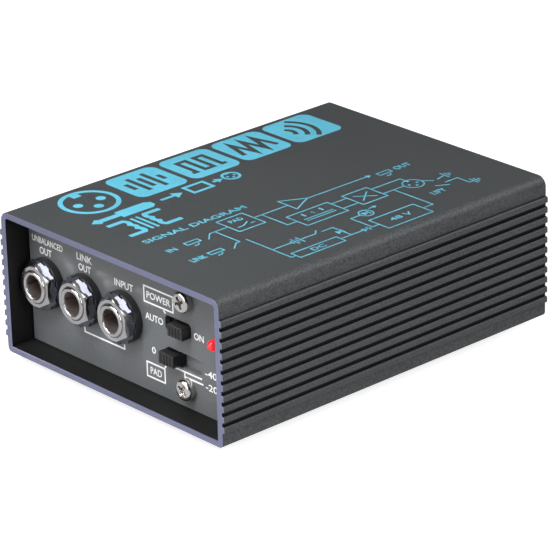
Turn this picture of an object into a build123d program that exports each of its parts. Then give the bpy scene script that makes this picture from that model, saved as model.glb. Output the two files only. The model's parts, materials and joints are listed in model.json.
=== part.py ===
from build123d import *
import os

# Direct injection box: a ribbed aluminium sleeve around a chassis that carries three jacks,
# two front slide switches, a rear output connector, a ground-lift switch and a battery drawer.
# Millimetres. X runs to the right seen from the front, Y runs from front to rear, Z is up.
# The origin is the middle of the footprint, at the height of the feet's undersides.

# Sleeve
LENGTH = 116.0
WIDTH = 85.6
HEIGHT = 40.0
WALL = 1.7
TOP_RADIUS = 2.7
BOTTOM_RADIUS = 1.3
INNER_RADIUS = 0.9
RIB_COUNT = 11
RIB_PITCH = 2.87
RIB_LOWEST = 4.3
RIB_STAND = 0.75
RIB_FACE = 1.42
RIB_SLOPE = 0.3
RIB_ROUND = 0.12
END_CHAMFER = 0.1

# Feet and the heights that follow from them
FOOT_HEIGHT = 3.0
FOOT_RADIUS = 5.0
FOOT_X = 31.0
FOOT_Y = 45.0
BASE = FOOT_HEIGHT
INSIDE_FLOOR = BASE + WALL
INSIDE_TOP = BASE + HEIGHT - WALL
INSIDE_HALF = WIDTH / 2 - WALL
FRONT = -LENGTH / 2
REAR = LENGTH / 2

# Panels stand back from both mouths of the sleeve
RECESS = 7.6
PANEL = 1.6
PANEL_GAP = 0.12
PANEL_FRONT = FRONT + RECESS
PANEL_BACK = PANEL_FRONT + PANEL
SHEET = 1.5
REAR_FACE = REAR - RECESS
REAR_INSIDE = REAR_FACE - SHEET
CHASSIS_TOP = INSIDE_FLOOR + SHEET

# Jacks
JACK_COUNT = 3
JACK_PITCH = 15.65
JACK_LAST_X = -2.6
JACK_Z = BASE + 20.0
JACK_NAMES = ["output", "link", "input"]
BORE_RADIUS = 3.2
BUSH_RADIUS = 4.45
BUSH_REACH = 5.1
BUSH_TAIL = 5.0
COLLAR_RADIUS = 6.2
COLLAR = 1.5
NUT_FLATS = 11.0
NUT_THICK = 1.8
WASHER_THICK = 0.5
WASHER_TEETH = 12
WASHER_RIM = 6.6
WASHER_TIP = 7.1
RING_RADIUS = 7.0
RING_THICK = 2.3
PANEL_HOLE = 4.6
JACK_BODY = (13.2, 27.0, 15.8)
JACK_FRONT = PANEL_BACK + 0.1

# Slide switches
KNOB_WIDTH = 5.7
KNOB_HEIGHT = 3.3
KNOB_REACH = 2.9
KNOB_GROOVES = 4
SLOT_HEIGHT = 4.3
SLOT_GAP = 0.2
SLOT_ROUND = 1.2
STEP = 3.85
SLOT_LEFT = 13.35
POWER_Z = BASE + 23.2
PAD_Z = BASE + 14.45
LIFT_X = 2.75
LIFT_Z = BASE + 20.0
LED_X = 33.1
LED_Z = POWER_Z

# Layers of a slide switch, counted inwards from the panel's outer face
SHUTTER_FRONT = 1.8
SHUTTER_BACK = 2.2
FRAME_FRONT = 2.5
FRAME_BACK = 3.0
BODY_BACK = 9.0
STEM_WIDTH = 2.4
STEM_HEIGHT = 2.2
CARRIAGE = (5.0, 1.6, 3.6)
CARRIAGE_FRONT = 5.5
SHUTTER_HEIGHT = 6.0
LIFT_SCREW = 10.9
LIFT_EAR = 5.8

# Pan-head screws, M3
HEAD_RADIUS = 2.95
HEAD_HEIGHT = 2.2
THREAD_RADIUS = 1.5
CLEAR_RADIUS = 1.7
FRONT_SCREW_X = 21.5
FRONT_SCREW_LOW = BASE + 7.2
FRONT_SCREW_HIGH = BASE + 31.45

# Circuit boards
BOARD = 1.6
SWITCH_BOARD_Y = PANEL_FRONT + 9.0
SWITCH_BOARD_BACK = SWITCH_BOARD_Y + BOARD
MAIN_TOP = JACK_Z - JACK_BODY[2] / 2
MAIN_BOTTOM = MAIN_TOP - BOARD
MAIN_SCREWS = [(-35.0, -16.0), (-8.0, -12.0), (35.0, -30.0), (35.0, 20.0)]

RIBBON_WIRES = 6
RIBBON_PITCH = 1.27
RIBBON_X = 24.2
RIBBON_Z = BASE + 24.0
RIBBON_DROP = -32.0

# Output connector
XLR_X = 22.0
XLR_Z = BASE + 20.0
XLR_FLANGE = (26.0, 31.0)
XLR_FLANGE_THICK = 2.0
XLR_BARREL = 11.8
XLR_CUP = 8.2
XLR_CUP_DEPTH = 15.0
XLR_SCREW = (9.5, 12.0)
XLR_PIN_RADIUS = 1.2
XLR_PIN_CIRCLE = 5.3
XLR_BOTTOM = REAR_FACE + XLR_FLANGE_THICK - XLR_CUP_DEPTH
XLR_TAIL = 9.0

# Battery drawer
BATTERY = (26.5, 48.5, 17.5)
TERMINAL_HEIGHT = 2.8
DRAWER_X = -20.0
DRAWER_WALL = 1.2
DRAWER_GAP = 0.3
DRAWER_FACE = (33.0, 2.4, 23.5)
TRAY_WIDTH = BATTERY[0] + 0.6 + 2 * DRAWER_WALL
TRAY_HEIGHT = BATTERY[2] + 0.4 + DRAWER_WALL
TRAY_LENGTH = BATTERY[1] + 1.6
BOSS_RADIUS = 2.8
BOSS_HEIGHT = 3.0
HOUSING_Z = CHASSIS_TOP + BOSS_HEIGHT + 0.4
TRAY_Z = HOUSING_Z + DRAWER_WALL + DRAWER_GAP
TRAY_BACK = REAR_FACE - 0.4
HOUSING_END = TRAY_BACK - TRAY_LENGTH - 1.8
BATTERY_Z = TRAY_Z + DRAWER_WALL + 0.05
BATTERY_BACK = REAR_FACE - 1.0
SNAP = 6.35


def block(x0, x1, y0, y1, z0, z1):
    """A box given by its limits."""
    middle = Pos((x0 + x1) / 2, (y0 + y1) / 2, (z0 + z1) / 2)
    return middle * Box(x1 - x0, y1 - y0, z1 - z0)


def rod(x, z, radius, y0, y1):
    """A cylinder along Y."""
    return Pos(x, (y0 + y1) / 2, z) * Rot(90, 0, 0) * Cylinder(radius, y1 - y0)


def post(x, y, radius, z0, z1):
    """A cylinder along Z."""
    return Pos(x, y, (z0 + z1) / 2) * Cylinder(radius, z1 - z0)


def hex_bar(flats, length):
    """A hexagonal bar along Z, standing on the XY plane, with corners on its X axis."""
    return extrude(RegularPolygon(flats / 2, 6, major_radius=False), length)


def wire(points, radius, bend):
    """A round wire along straight runs joined by arcs."""
    path = FilletPolyline(*points, radius=bend)
    section = Plane(origin=path @ 0, z_dir=path % 0) * Circle(radius)
    return sweep(section, path)


def group(solids):
    """Several separate solids kept together in one node."""
    return Compound(children=list(solids))


def jack_xs():
    """The three jack axes, left to right."""
    first = JACK_LAST_X - (JACK_COUNT - 1) * JACK_PITCH
    return [first + i * JACK_PITCH for i in range(JACK_COUNT)]


def rib_outline(side, underside):
    """One rib: flat underside, upright face, flat top with a sloped front edge."""
    inner = side * (WIDTH / 2 - 0.3)
    outer = side * (WIDTH / 2 + RIB_STAND)
    shoulder = side * (WIDTH / 2 + RIB_STAND - RIB_SLOPE)
    face_top = underside + RIB_FACE
    top = face_top + RIB_SLOPE
    corners = [(inner, underside), (outer, underside), (outer, face_top), (shoulder, top), (inner, top)]
    return make_face(Polyline(*corners, close=True))


def sleeve():
    """Extruded tube with eleven ribs on each side wall and drilled for the foot screws."""
    outline = Pos(0, BASE + HEIGHT / 2) * Rectangle(WIDTH, HEIGHT)
    outline = fillet(outline.vertices().group_by(Axis.Y)[-1], TOP_RADIUS)
    outline = fillet(outline.vertices().group_by(Axis.Y)[0], BOTTOM_RADIUS)
    for side in (-1, 1):
        for i in range(RIB_COUNT):
            outline += rib_outline(side, BASE + RIB_LOWEST + i * RIB_PITCH)
    tips = [v for v in outline.vertices() if abs(v.X) > WIDTH / 2 + RIB_STAND - 0.01]
    outline = fillet(tips, RIB_ROUND)
    cavity = Pos(0, BASE + HEIGHT / 2) * Rectangle(2 * INSIDE_HALF, HEIGHT - 2 * WALL)
    cavity = fillet(cavity.vertices().group_by(Axis.Y)[-1], INNER_RADIUS)
    tube = extrude(Plane.XZ * (outline - cavity), LENGTH / 2, both=True)
    for end in (0, -1):
        rim = tube.faces().sort_by(Axis.Y)[end].outer_wire().edges()
        tube = chamfer(rim, END_CHAMFER)
    for x, y in foot_places():
        tube -= post(x, y, CLEAR_RADIUS, BASE - 1, INSIDE_FLOOR + 1)
    return tube


def foot_places():
    """The four foot centres."""
    return [(sx * FOOT_X, sy * FOOT_Y) for sx in (-1, 1) for sy in (-1, 1)]


def pan_screw(head_radius, head_height, thread_radius, length):
    """Pan-head screw standing on Z: cross recess on top, underside of the head at zero."""
    head = Pos(0, 0, head_height / 2) * Cylinder(head_radius, head_height)
    head = fillet(head.edges().group_by(Axis.Z)[-1], 0.38 * head_height)
    reach = 0.62 * head_radius
    bar = Box(2 * reach, 0.3 * head_radius, 1.2 * head_height)
    for turn in (45, 135):
        head -= Pos(0, 0, head_height) * Rot(0, 0, turn) * bar
    head -= Pos(0, 0, head_height * 0.62) * Cone(0.1, 0.4 * head_radius, 0.8 * head_height)
    shank = Pos(0, 0, -length / 2) * Cylinder(thread_radius, length)
    return head + shank


def front_panel():
    """Flat plate behind the front mouth, pierced for jacks, knobs, lamp and screws."""
    half = INSIDE_HALF - PANEL_GAP
    low = INSIDE_FLOOR + PANEL_GAP
    high = INSIDE_TOP - PANEL_GAP
    outline = Pos(0, (low + high) / 2) * Rectangle(2 * half, high - low)
    outline = fillet(outline.vertices().group_by(Axis.Y)[-1], INNER_RADIUS)
    for x in jack_xs():
        outline -= Pos(x, JACK_Z) * Circle(PANEL_HOLE)
    for z in (FRONT_SCREW_LOW, FRONT_SCREW_HIGH):
        outline -= Pos(FRONT_SCREW_X, z) * Circle(CLEAR_RADIUS)
    outline -= Pos(LED_X, LED_Z) * Circle(1.65)
    plate = extrude(Plane.XZ.offset(-PANEL_BACK) * outline, PANEL)
    for steps, z in ((1, POWER_Z), (2, PAD_Z)):
        plate -= slot_cutter(steps, front_place(steps, z))
    return plate


def slot_length(steps):
    """Length of a panel slot for a knob with this many steps of travel."""
    return KNOB_WIDTH + 2 * SLOT_GAP + steps * STEP


def slot_cutter(steps, place):
    """The round-cornered slot that a knob slides in."""
    outline = RectangleRounded(slot_length(steps), SLOT_HEIGHT, SLOT_ROUND)
    return place * extrude(Plane.XZ * outline, 3 * PANEL, both=True)


def front_place(steps, z):
    """Where a front switch sits: its slot's middle, on the panel's outer face, +Y inwards."""
    return Pos(SLOT_LEFT + slot_length(steps) / 2, PANEL_FRONT, z)


def lift_place():
    """Where the ground-lift switch sits: upright, on the rear wall, +Y inwards."""
    return Pos(LIFT_X, REAR_FACE, LIFT_Z) * Rot(0, 0, 180) * Rot(0, 90, 0)


def knob(offset):
    """Black finger piece with a grooved face, its stem and the carriage behind it."""
    cap = block(-KNOB_WIDTH / 2, KNOB_WIDTH / 2, -KNOB_REACH, SHUTTER_FRONT,
                -KNOB_HEIGHT / 2, KNOB_HEIGHT / 2)
    cap = fillet(cap.faces().sort_by(Axis.Y)[0].edges(), 0.3)
    spacing = KNOB_WIDTH / (KNOB_GROOVES + 1)
    for i in range(KNOB_GROOVES):
        x = (i - (KNOB_GROOVES - 1) / 2) * spacing
        cap -= Pos(x, -KNOB_REACH, 0) * Rot(0, 0, 45) * Box(0.45, 0.45, KNOB_HEIGHT + 1)
    stem = block(-STEM_WIDTH / 2, STEM_WIDTH / 2, SHUTTER_FRONT, CARRIAGE_FRONT,
                 -STEM_HEIGHT / 2, STEM_HEIGHT / 2)
    carriage = block(-CARRIAGE[0] / 2, CARRIAGE[0] / 2, CARRIAGE_FRONT,
                     CARRIAGE_FRONT + CARRIAGE[1], -CARRIAGE[2] / 2, CARRIAGE[2] / 2)
    return Pos(offset, 0, 0) * (cap + stem + carriage)


def shutter(offset, steps):
    """Thin plate on the stem that closes the slot behind the knob."""
    half = slot_length(steps) - KNOB_WIDTH / 2
    plate = block(-half, half, SHUTTER_FRONT, SHUTTER_BACK, -SHUTTER_HEIGHT / 2, SHUTTER_HEIGHT / 2)
    plate -= block(-STEM_WIDTH / 2, STEM_WIDTH / 2, SHUTTER_FRONT - 1, SHUTTER_BACK + 1,
                   -STEM_HEIGHT / 2, STEM_HEIGHT / 2)
    return Pos(offset, 0, 0) * plate


def switch_frame(steps, ear):
    """Bent steel yoke: a slotted face, two legs that grip the body, and ears for screws."""
    half = (steps * STEP + STEM_WIDTH) / 2 + 4.3
    tall = 3.9
    face = block(-half - ear, half + ear, FRAME_FRONT, FRAME_BACK, -tall, tall)
    legs = block(-half, half, FRAME_BACK, BODY_BACK - 0.6, -tall, tall)
    legs -= block(-half - 1, half + 1, FRAME_BACK, BODY_BACK, -tall + 0.5, tall - 0.5)
    window = (steps * STEP + STEM_WIDTH) / 2 + 0.4
    face -= block(-window, window, FRAME_FRONT - 1, FRAME_BACK + 1,
                  -STEM_HEIGHT / 2 - 0.4, STEM_HEIGHT / 2 + 0.4)
    if ear:
        for side in (-1, 1):
            face -= rod(side * LIFT_SCREW, 0, 1.3, FRAME_FRONT - 1, FRAME_BACK + 1)
    return face + legs


def switch_body(steps):
    """Moulded black block with a chamber for the carriage."""
    half = (steps * STEP + STEM_WIDTH) / 2 + 4.0
    tall = 3.4
    body = block(-half, half, FRAME_BACK, BODY_BACK, -tall, tall)
    room = (steps * STEP + CARRIAGE[0]) / 2 + 0.4
    body -= block(-room, room, FRAME_BACK - 1, CARRIAGE_FRONT + CARRIAGE[1] + 0.4,
                  -CARRIAGE[2] / 2 - 0.4, CARRIAGE[2] / 2 + 0.4)
    return body


def switch_terminals(steps, reach):
    """Two rows of tinned pins out of the back of the body."""
    count = steps + 2
    pins = []
    for i in range(count):
        x = (i - (count - 1) / 2) * STEP
        for z in (-2.0, 2.0):
            pins.append(block(x - 0.4, x + 0.4, BODY_BACK, BODY_BACK + reach, z - 0.2, z + 0.2))
    return group(pins)


def jack_bush(x):
    """Plated threaded bush: rounded lip in front, collar behind the panel, plain bore."""
    tip = PANEL_FRONT - BUSH_REACH
    tube = rod(x, JACK_Z, BUSH_RADIUS, tip, PANEL_BACK + BUSH_TAIL)
    tube += rod(x, JACK_Z, COLLAR_RADIUS, JACK_FRONT, JACK_FRONT + COLLAR)
    tube -= rod(x, JACK_Z, BORE_RADIUS, tip - 1, PANEL_BACK + BUSH_TAIL + 1)
    front = tube.faces().sort_by(Axis.Y)[0]
    return fillet(front.edges(), 0.5)


def jack_body(x):
    """Moulded jack housing with a round tunnel for the plug and a pocket for the bush collar."""
    wide, deep, tall = JACK_BODY
    front = JACK_FRONT
    body = block(x - wide / 2, x + wide / 2, front, front + deep,
                 JACK_Z - tall / 2, JACK_Z + tall / 2)
    body = fillet(body.edges().filter_by(Axis.Y), 0.8)
    body -= rod(x, JACK_Z, COLLAR_RADIUS, front - 1, front + COLLAR)
    body -= rod(x, JACK_Z, BUSH_RADIUS, front, PANEL_BACK + BUSH_TAIL)
    body -= rod(x, JACK_Z, BORE_RADIUS + 0.3, front, front + deep - 1.5)
    body -= block(x - 1.6, x + 1.6, front + 14, front + deep - 3, JACK_Z, JACK_Z + tall)
    return body


def jack_contact(x):
    """Tip spring: a bent strip let in from the top of the housing."""
    front = JACK_FRONT
    run = [(front + 15.0, JACK_Z + 7.4), (front + 15.6, JACK_Z + 3.2), (front + 18.6, JACK_Z + 2.4),
           (front + 21.4, JACK_Z + 4.4)]
    back = [(y + 0.35, z + 0.35) for y, z in reversed(run)]
    strip = make_face(Polyline(*run, *back, close=True))
    return Pos(x - 1.4, 0, 0) * extrude(Plane.YZ * strip, 2.8)


def jack_terminals():
    """Solder pins from the jack housings down through the main board."""
    pins = []
    for x in jack_xs():
        for y in (6.0, 14.0, 24.0):
            for side in (-1, 1):
                at = PANEL_BACK + y
                pins.append(block(x + side * 5.2 - 0.5, x + side * 5.2 + 0.5, at - 0.15, at + 0.15,
                                  MAIN_BOTTOM - 1.2, MAIN_TOP))
    return group(pins)


def jack_nut(x):
    """Thin hexagon nut with corners top and bottom and both faces chamfered."""
    across = NUT_FLATS
    nut = hex_bar(across, NUT_THICK)
    keep = Pos(0, 0, NUT_THICK / 2) * Cylinder(across / 2 + 0.75, NUT_THICK)
    keep = chamfer(keep.edges().group_by(Axis.Z)[-1], 0.55)
    nut = nut & keep
    nut -= Cylinder(BUSH_RADIUS, 4 * NUT_THICK)
    back = PANEL_FRONT - RING_THICK - WASHER_THICK
    return Pos(x, back, JACK_Z) * Rot(90, 0, 0) * Rot(0, 0, 30) * nut


def tooth_washer(x):
    """Lock washer with twelve outside teeth."""
    disc = Cylinder(WASHER_RIM, WASHER_THICK)
    for i in range(WASHER_TEETH):
        tooth = Box(2 * (WASHER_TIP - WASHER_RIM) + 1.2, 1.1, WASHER_THICK)
        disc += Rot(0, 0, i * 360 / WASHER_TEETH) * Pos(WASHER_RIM - 0.6, 0, 0) * tooth
    disc &= Cylinder(WASHER_TIP, WASHER_THICK)
    disc -= Cylinder(BUSH_RADIUS + 0.1, 2 * WASHER_THICK)
    middle = PANEL_FRONT - RING_THICK - WASHER_THICK / 2
    return Pos(x, middle, JACK_Z) * Rot(90, 0, 0) * disc


def insulating_ring(x):
    """Black moulded ring between the panel and the lock washer."""
    ring = rod(x, JACK_Z, RING_RADIUS, PANEL_FRONT - RING_THICK, PANEL_FRONT)
    ring = fillet(ring.edges().group_by(Axis.Y)[0], 0.3)
    return ring - rod(x, JACK_Z, BUSH_RADIUS + 0.1, PANEL_FRONT - 2 * RING_THICK, PANEL_FRONT + 1)


def chassis():
    """Bent steel sheet: floor, rear wall, low side flanges, a front tab and four tapped bosses."""
    half = INSIDE_HALF - 0.3
    floor_front = PANEL_BACK + 0.2
    sheet = block(-half, half, floor_front, REAR_FACE, INSIDE_FLOOR, CHASSIS_TOP)
    sheet += block(-half, half, REAR_INSIDE, REAR_FACE, INSIDE_FLOOR, INSIDE_TOP - 0.3)
    heel = [e for e in sheet.edges().filter_by(Axis.X)
            if e.center().Z < INSIDE_FLOOR + 0.1 and e.center().Y > REAR_FACE - 0.1]
    sheet = fillet(heel, 1.2)
    for side in (-1, 1):
        edge = side * (half - SHEET / 2)
        sheet += block(edge - SHEET / 2, edge + SHEET / 2, -32.0, 30.0, INSIDE_FLOOR, INSIDE_FLOOR + 5)
    tab = block(FRONT_SCREW_X - 4, FRONT_SCREW_X + 4, SWITCH_BOARD_BACK,
                SWITCH_BOARD_BACK + SHEET, INSIDE_FLOOR, FRONT_SCREW_LOW + 4)
    tab -= rod(FRONT_SCREW_X, FRONT_SCREW_LOW, CLEAR_RADIUS, SWITCH_BOARD_BACK - 1,
               SWITCH_BOARD_BACK + 3)
    sheet += tab
    for x, y in foot_places():
        sheet += post(x, y, BOSS_RADIUS, CHASSIS_TOP, CHASSIS_TOP + BOSS_HEIGHT)
        sheet -= post(x, y, THREAD_RADIUS, INSIDE_FLOOR - 1, CHASSIS_TOP + BOSS_HEIGHT + 1)
    sheet -= rod(XLR_X, XLR_Z, XLR_BARREL + 0.2, REAR_INSIDE - 1, REAR_FACE + 1)
    for x, z in xlr_screw_places():
        sheet -= rod(x, z, CLEAR_RADIUS, REAR_INSIDE - 1, REAR_FACE + 1)
    for side in (-1, 1):
        sheet -= rod(LIFT_X, LIFT_Z + side * LIFT_SCREW, 1.3, REAR_INSIDE - 1, REAR_FACE + 1)
    sheet -= slot_cutter(1, lift_place())
    mouth = TRAY_WIDTH / 2 + DRAWER_GAP
    sheet -= block(DRAWER_X - mouth, DRAWER_X + mouth, REAR_INSIDE - 1, REAR_FACE + 1,
                   TRAY_Z - DRAWER_GAP, TRAY_Z + TRAY_HEIGHT + DRAWER_GAP)
    return sheet


def main_board():
    """L-shaped circuit board: the left arm holds the jacks, the right arm the electronics."""
    left = -INSIDE_HALF + 1.0
    right = INSIDE_HALF - 2.2
    corners = [(left, PANEL_BACK + 0.6), (5.4, PANEL_BACK + 0.6), (5.4, -35.0), (right, -35.0),
               (right, 24.0), (0.0, 24.0), (0.0, -7.5), (left, -7.5)]
    outline = make_face(Polyline(*corners, close=True))
    for x, y in MAIN_SCREWS:
        outline -= Pos(x, y) * Circle(CLEAR_RADIUS)
    board = extrude(Plane.XY.offset(MAIN_BOTTOM) * outline, BOARD)
    for pin in jack_terminals().solids():
        box = pin.bounding_box()
        board -= block(box.min.X, box.max.X, box.min.Y, box.max.Y, MAIN_BOTTOM - 1, MAIN_TOP + 1)
    return board


def board_standoffs():
    """Hexagonal brass pillars between the chassis floor and the main board."""
    tall = MAIN_BOTTOM - CHASSIS_TOP
    pillar = hex_bar(5.5, tall) - Pos(0, 0, tall / 2) * Cylinder(THREAD_RADIUS, tall)
    return group(Pos(x, y, CHASSIS_TOP) * pillar for x, y in MAIN_SCREWS)


def board_screws():
    """Screws that hold the main board down on its pillars."""
    return group(Pos(x, y, MAIN_TOP) * pan_screw(2.8, 1.9, THREAD_RADIUS, 6.0)
                 for x, y in MAIN_SCREWS)


def switch_board():
    """Upright circuit board behind the two front switches and the lamp."""
    low = BASE + 3.6
    high = BASE + 35.2
    board = block(8.0, 37.0, SWITCH_BOARD_Y, SWITCH_BOARD_BACK, low, high)
    for z in (FRONT_SCREW_LOW, FRONT_SCREW_HIGH):
        board -= rod(FRONT_SCREW_X, z, CLEAR_RADIUS, SWITCH_BOARD_Y - 1, SWITCH_BOARD_BACK + 1)
    for steps, z in ((1, POWER_Z), (2, PAD_Z)):
        for pin in (front_place(steps, z) * switch_terminals(steps, 3.0)).solids():
            box = pin.bounding_box()
            board -= block(box.min.X, box.max.X, SWITCH_BOARD_Y - 1, SWITCH_BOARD_BACK + 1,
                           box.min.Z, box.max.Z)
    for side in (-1, 1):
        board -= rod(LED_X + side * 1.27, LED_Z, 0.4, SWITCH_BOARD_Y - 1, SWITCH_BOARD_BACK + 1)
    return board


def switch_board_pillars():
    """Threaded pillars that hold the switch board off the front panel."""
    deep = SWITCH_BOARD_Y - PANEL_BACK
    pillar = hex_bar(5.5, deep) - Pos(0, 0, deep / 2) * Cylinder(THREAD_RADIUS, deep)
    return group(Pos(FRONT_SCREW_X, SWITCH_BOARD_Y, z) * Rot(90, 0, 0) * pillar
                 for z in (FRONT_SCREW_LOW, FRONT_SCREW_HIGH))


def front_screws():
    """The two bright screws seen on the front panel."""
    return group(Pos(FRONT_SCREW_X, PANEL_FRONT, z) * Rot(90, 0, 0) * Rot(0, 0, turn)
                 * pan_screw(HEAD_RADIUS, HEAD_HEIGHT, THREAD_RADIUS, PANEL + 3.4)
                 for z, turn in ((FRONT_SCREW_LOW, 12), (FRONT_SCREW_HIGH, -20)))


def switch_board_screws():
    """Screws through the switch board and the chassis tab into the pillars."""
    screws = []
    for z, washer in ((FRONT_SCREW_LOW, SHEET), (FRONT_SCREW_HIGH, 0.0)):
        screw = pan_screw(2.75, 1.9, THREAD_RADIUS, BOARD + washer + 3.0)
        screws.append(Pos(FRONT_SCREW_X, SWITCH_BOARD_BACK + washer, z) * Rot(-90, 0, 0) * screw)
    return group(screws)


def led_lens():
    """Round-nosed lamp with its base flange."""
    nose = rod(LED_X, LED_Z, 1.5, PANEL_FRONT - 1.4, PANEL_FRONT + 3.2)
    nose += Pos(LED_X, PANEL_FRONT - 1.4, LED_Z) * Sphere(1.5)
    return nose + rod(LED_X, LED_Z, 1.9, PANEL_FRONT + 2.2, PANEL_FRONT + 3.2)


def led_leads():
    """The lamp's two legs."""
    start = PANEL_FRONT + 3.2
    return group(rod(LED_X + side * 1.27, LED_Z, 0.25, start, SWITCH_BOARD_BACK + 1.2)
                 for side in (-1, 1))


def led_spacer():
    """Black tube that sets the lamp's distance from its board."""
    start = PANEL_FRONT + 3.2
    tube = rod(LED_X, LED_Z, 2.3, start, SWITCH_BOARD_Y)
    for side in (-1, 1):
        tube -= rod(LED_X + side * 1.27, LED_Z, 0.4, start - 1, SWITCH_BOARD_Y + 1)
    return tube


def foot(x, y):
    """Rubber foot with a counterbore for its screw."""
    body = post(x, y, FOOT_RADIUS, 0, FOOT_HEIGHT)
    body = fillet(body.edges().group_by(Axis.Z)[0], 0.5)
    body -= post(x, y, 3.1, -1, FOOT_HEIGHT - 0.8)
    return body - post(x, y, CLEAR_RADIUS, 0, FOOT_HEIGHT + 1)


def foot_screw(x, y):
    """Screw up through the foot and the sleeve into the chassis boss."""
    screw = pan_screw(2.75, 1.9, THREAD_RADIUS, WALL + SHEET + 3.2)
    return Pos(x, y, FOOT_HEIGHT - 0.8) * Rot(180, 0, 0) * screw


def xlr_screw_places():
    """Two diagonal screw holes of the output connector's flange."""
    dx, dz = XLR_SCREW
    return [(XLR_X + dx, XLR_Z + dz), (XLR_X - dx, XLR_Z - dz)]


def xlr_shell():
    """Die-cast connector: square flange, raised rim, round cup and the barrel behind."""
    wide, tall = XLR_FLANGE
    plate = RectangleRounded(wide, tall, 2.5)
    flange = Pos(XLR_X, REAR_FACE, XLR_Z) * extrude(Plane.XZ * plate, -XLR_FLANGE_THICK)
    flange = chamfer(flange.faces().sort_by(Axis.Y)[-1].outer_wire().edges(), 0.4)
    for x, z in xlr_screw_places():
        flange -= rod(x, z, CLEAR_RADIUS, REAR_FACE - 1, REAR_FACE + 4)
    outer = REAR_FACE + XLR_FLANGE_THICK
    shell = flange + rod(XLR_X, XLR_Z, XLR_CUP + 1.6, outer - 0.5, outer + 0.9)
    shell += rod(XLR_X, XLR_Z, XLR_BARREL, outer - XLR_CUP_DEPTH - 5.0, REAR_FACE + 0.1)
    shell -= rod(XLR_X, XLR_Z, XLR_CUP, outer - XLR_CUP_DEPTH, outer + 2)
    shell -= rod(XLR_X, XLR_Z, XLR_CUP - 1.0, outer - XLR_CUP_DEPTH - 6.0, outer)
    key = block(XLR_X - 1.6, XLR_X + 1.6, outer - 10.0, outer + 2, XLR_Z, XLR_Z + XLR_CUP + 0.8)
    return shell - key


def xlr_pin_places():
    """Three pins on a circle, the lone one at the bottom."""
    circle = XLR_PIN_CIRCLE
    return [(XLR_X - 0.87 * circle, XLR_Z + 0.5 * circle),
            (XLR_X + 0.87 * circle, XLR_Z + 0.5 * circle),
            (XLR_X, XLR_Z - circle)]


def xlr_insert():
    """Black moulded insert at the bottom of the cup."""
    face = XLR_BOTTOM
    disc = rod(XLR_X, XLR_Z, XLR_CUP - 1.0, face - 5.5, face + 0.6)
    for x, z in xlr_pin_places():
        disc -= rod(x, z, XLR_PIN_RADIUS, face - 7, face + 2)
    return disc


def xlr_pins():
    """Three contact pins with solder tails."""
    face = XLR_BOTTOM
    pins = []
    for x, z in xlr_pin_places():
        pin = rod(x, z, XLR_PIN_RADIUS, face - XLR_TAIL, face + 12.0)
        pins.append(fillet(pin.edges().group_by(Axis.Y)[-1], 0.8))
    return group(pins)


def xlr_screws():
    """Screws of the output connector."""
    return group(Pos(x, REAR_FACE + XLR_FLANGE_THICK, z) * Rot(-90, 0, 0)
                 * pan_screw(2.75, 1.9, THREAD_RADIUS, 7.0) for x, z in xlr_screw_places())


def xlr_nuts():
    """Nuts behind the rear wall on the connector's screws."""
    nut = hex_bar(5.5, 2.4) - Cylinder(THREAD_RADIUS, 8)
    return group(Pos(x, REAR_INSIDE, z) * Rot(90, 0, 0) * nut for x, z in xlr_screw_places())


def lift_screws():
    """Small screws of the ground-lift switch."""
    return group(Pos(LIFT_X, REAR_FACE, LIFT_Z + side * LIFT_SCREW) * Rot(-90, 0, 0)
                 * pan_screw(2.25, 1.6, 1.2, 4.5) for side in (-1, 1))


def battery_case():
    """Block battery lying along Y, terminals towards the front."""
    wide, deep, tall = BATTERY
    case = block(DRAWER_X - wide / 2, DRAWER_X + wide / 2, BATTERY_BACK - deep + TERMINAL_HEIGHT,
                 BATTERY_BACK, BATTERY_Z, BATTERY_Z + tall)
    return fillet(case.edges().filter_by(Axis.Y), 1.8)


def battery_terminals():
    """Snap stud and snap socket on the battery's end."""
    middle = battery_middle()
    end = BATTERY_BACK - BATTERY[1]
    top = end + TERMINAL_HEIGHT
    stud = rod(DRAWER_X - SNAP, middle, 2.9, end, top)
    socket = rod(DRAWER_X + SNAP, middle, 3.9, end, top)
    socket -= rod(DRAWER_X + SNAP, middle, 2.9, end - 1, top - 0.8)
    return group([stud, socket])


def battery_drawer():
    """Tray with a face plate, a finger scoop and an open end for the terminals."""
    half = TRAY_WIDTH / 2
    back = REAR_FACE + 0.3
    inner = TRAY_BACK
    tray = block(DRAWER_X - half, DRAWER_X + half, inner - TRAY_LENGTH, back, TRAY_Z, TRAY_Z + 13.0)
    tray -= block(DRAWER_X - half + DRAWER_WALL, DRAWER_X + half - DRAWER_WALL,
                  inner - TRAY_LENGTH + DRAWER_WALL, REAR_FACE - 0.9, TRAY_Z + DRAWER_WALL, TRAY_Z + 40)
    opening = BATTERY[0] / 2 - 2.5
    tray -= block(DRAWER_X - opening, DRAWER_X + opening, inner - TRAY_LENGTH - 1,
                  inner - TRAY_LENGTH + 2, TRAY_Z + 3.0, TRAY_Z + 40)
    wide, thick, tall = DRAWER_FACE
    middle = TRAY_Z + TRAY_HEIGHT / 2
    plate = Pos(DRAWER_X, back, middle) * extrude(Plane.XZ * RectangleRounded(wide, tall, 1.5), -thick)
    plate = fillet(plate.faces().sort_by(Axis.Y)[-1].outer_wire().edges(), 0.5)
    scoop = Pos(DRAWER_X, back + thick + 2.0, middle + tall / 2 - 5.2)
    scoop *= Rot(0, 90, 0) * Cylinder(3.2, 14.0)
    return tray + (plate - scoop)


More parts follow.
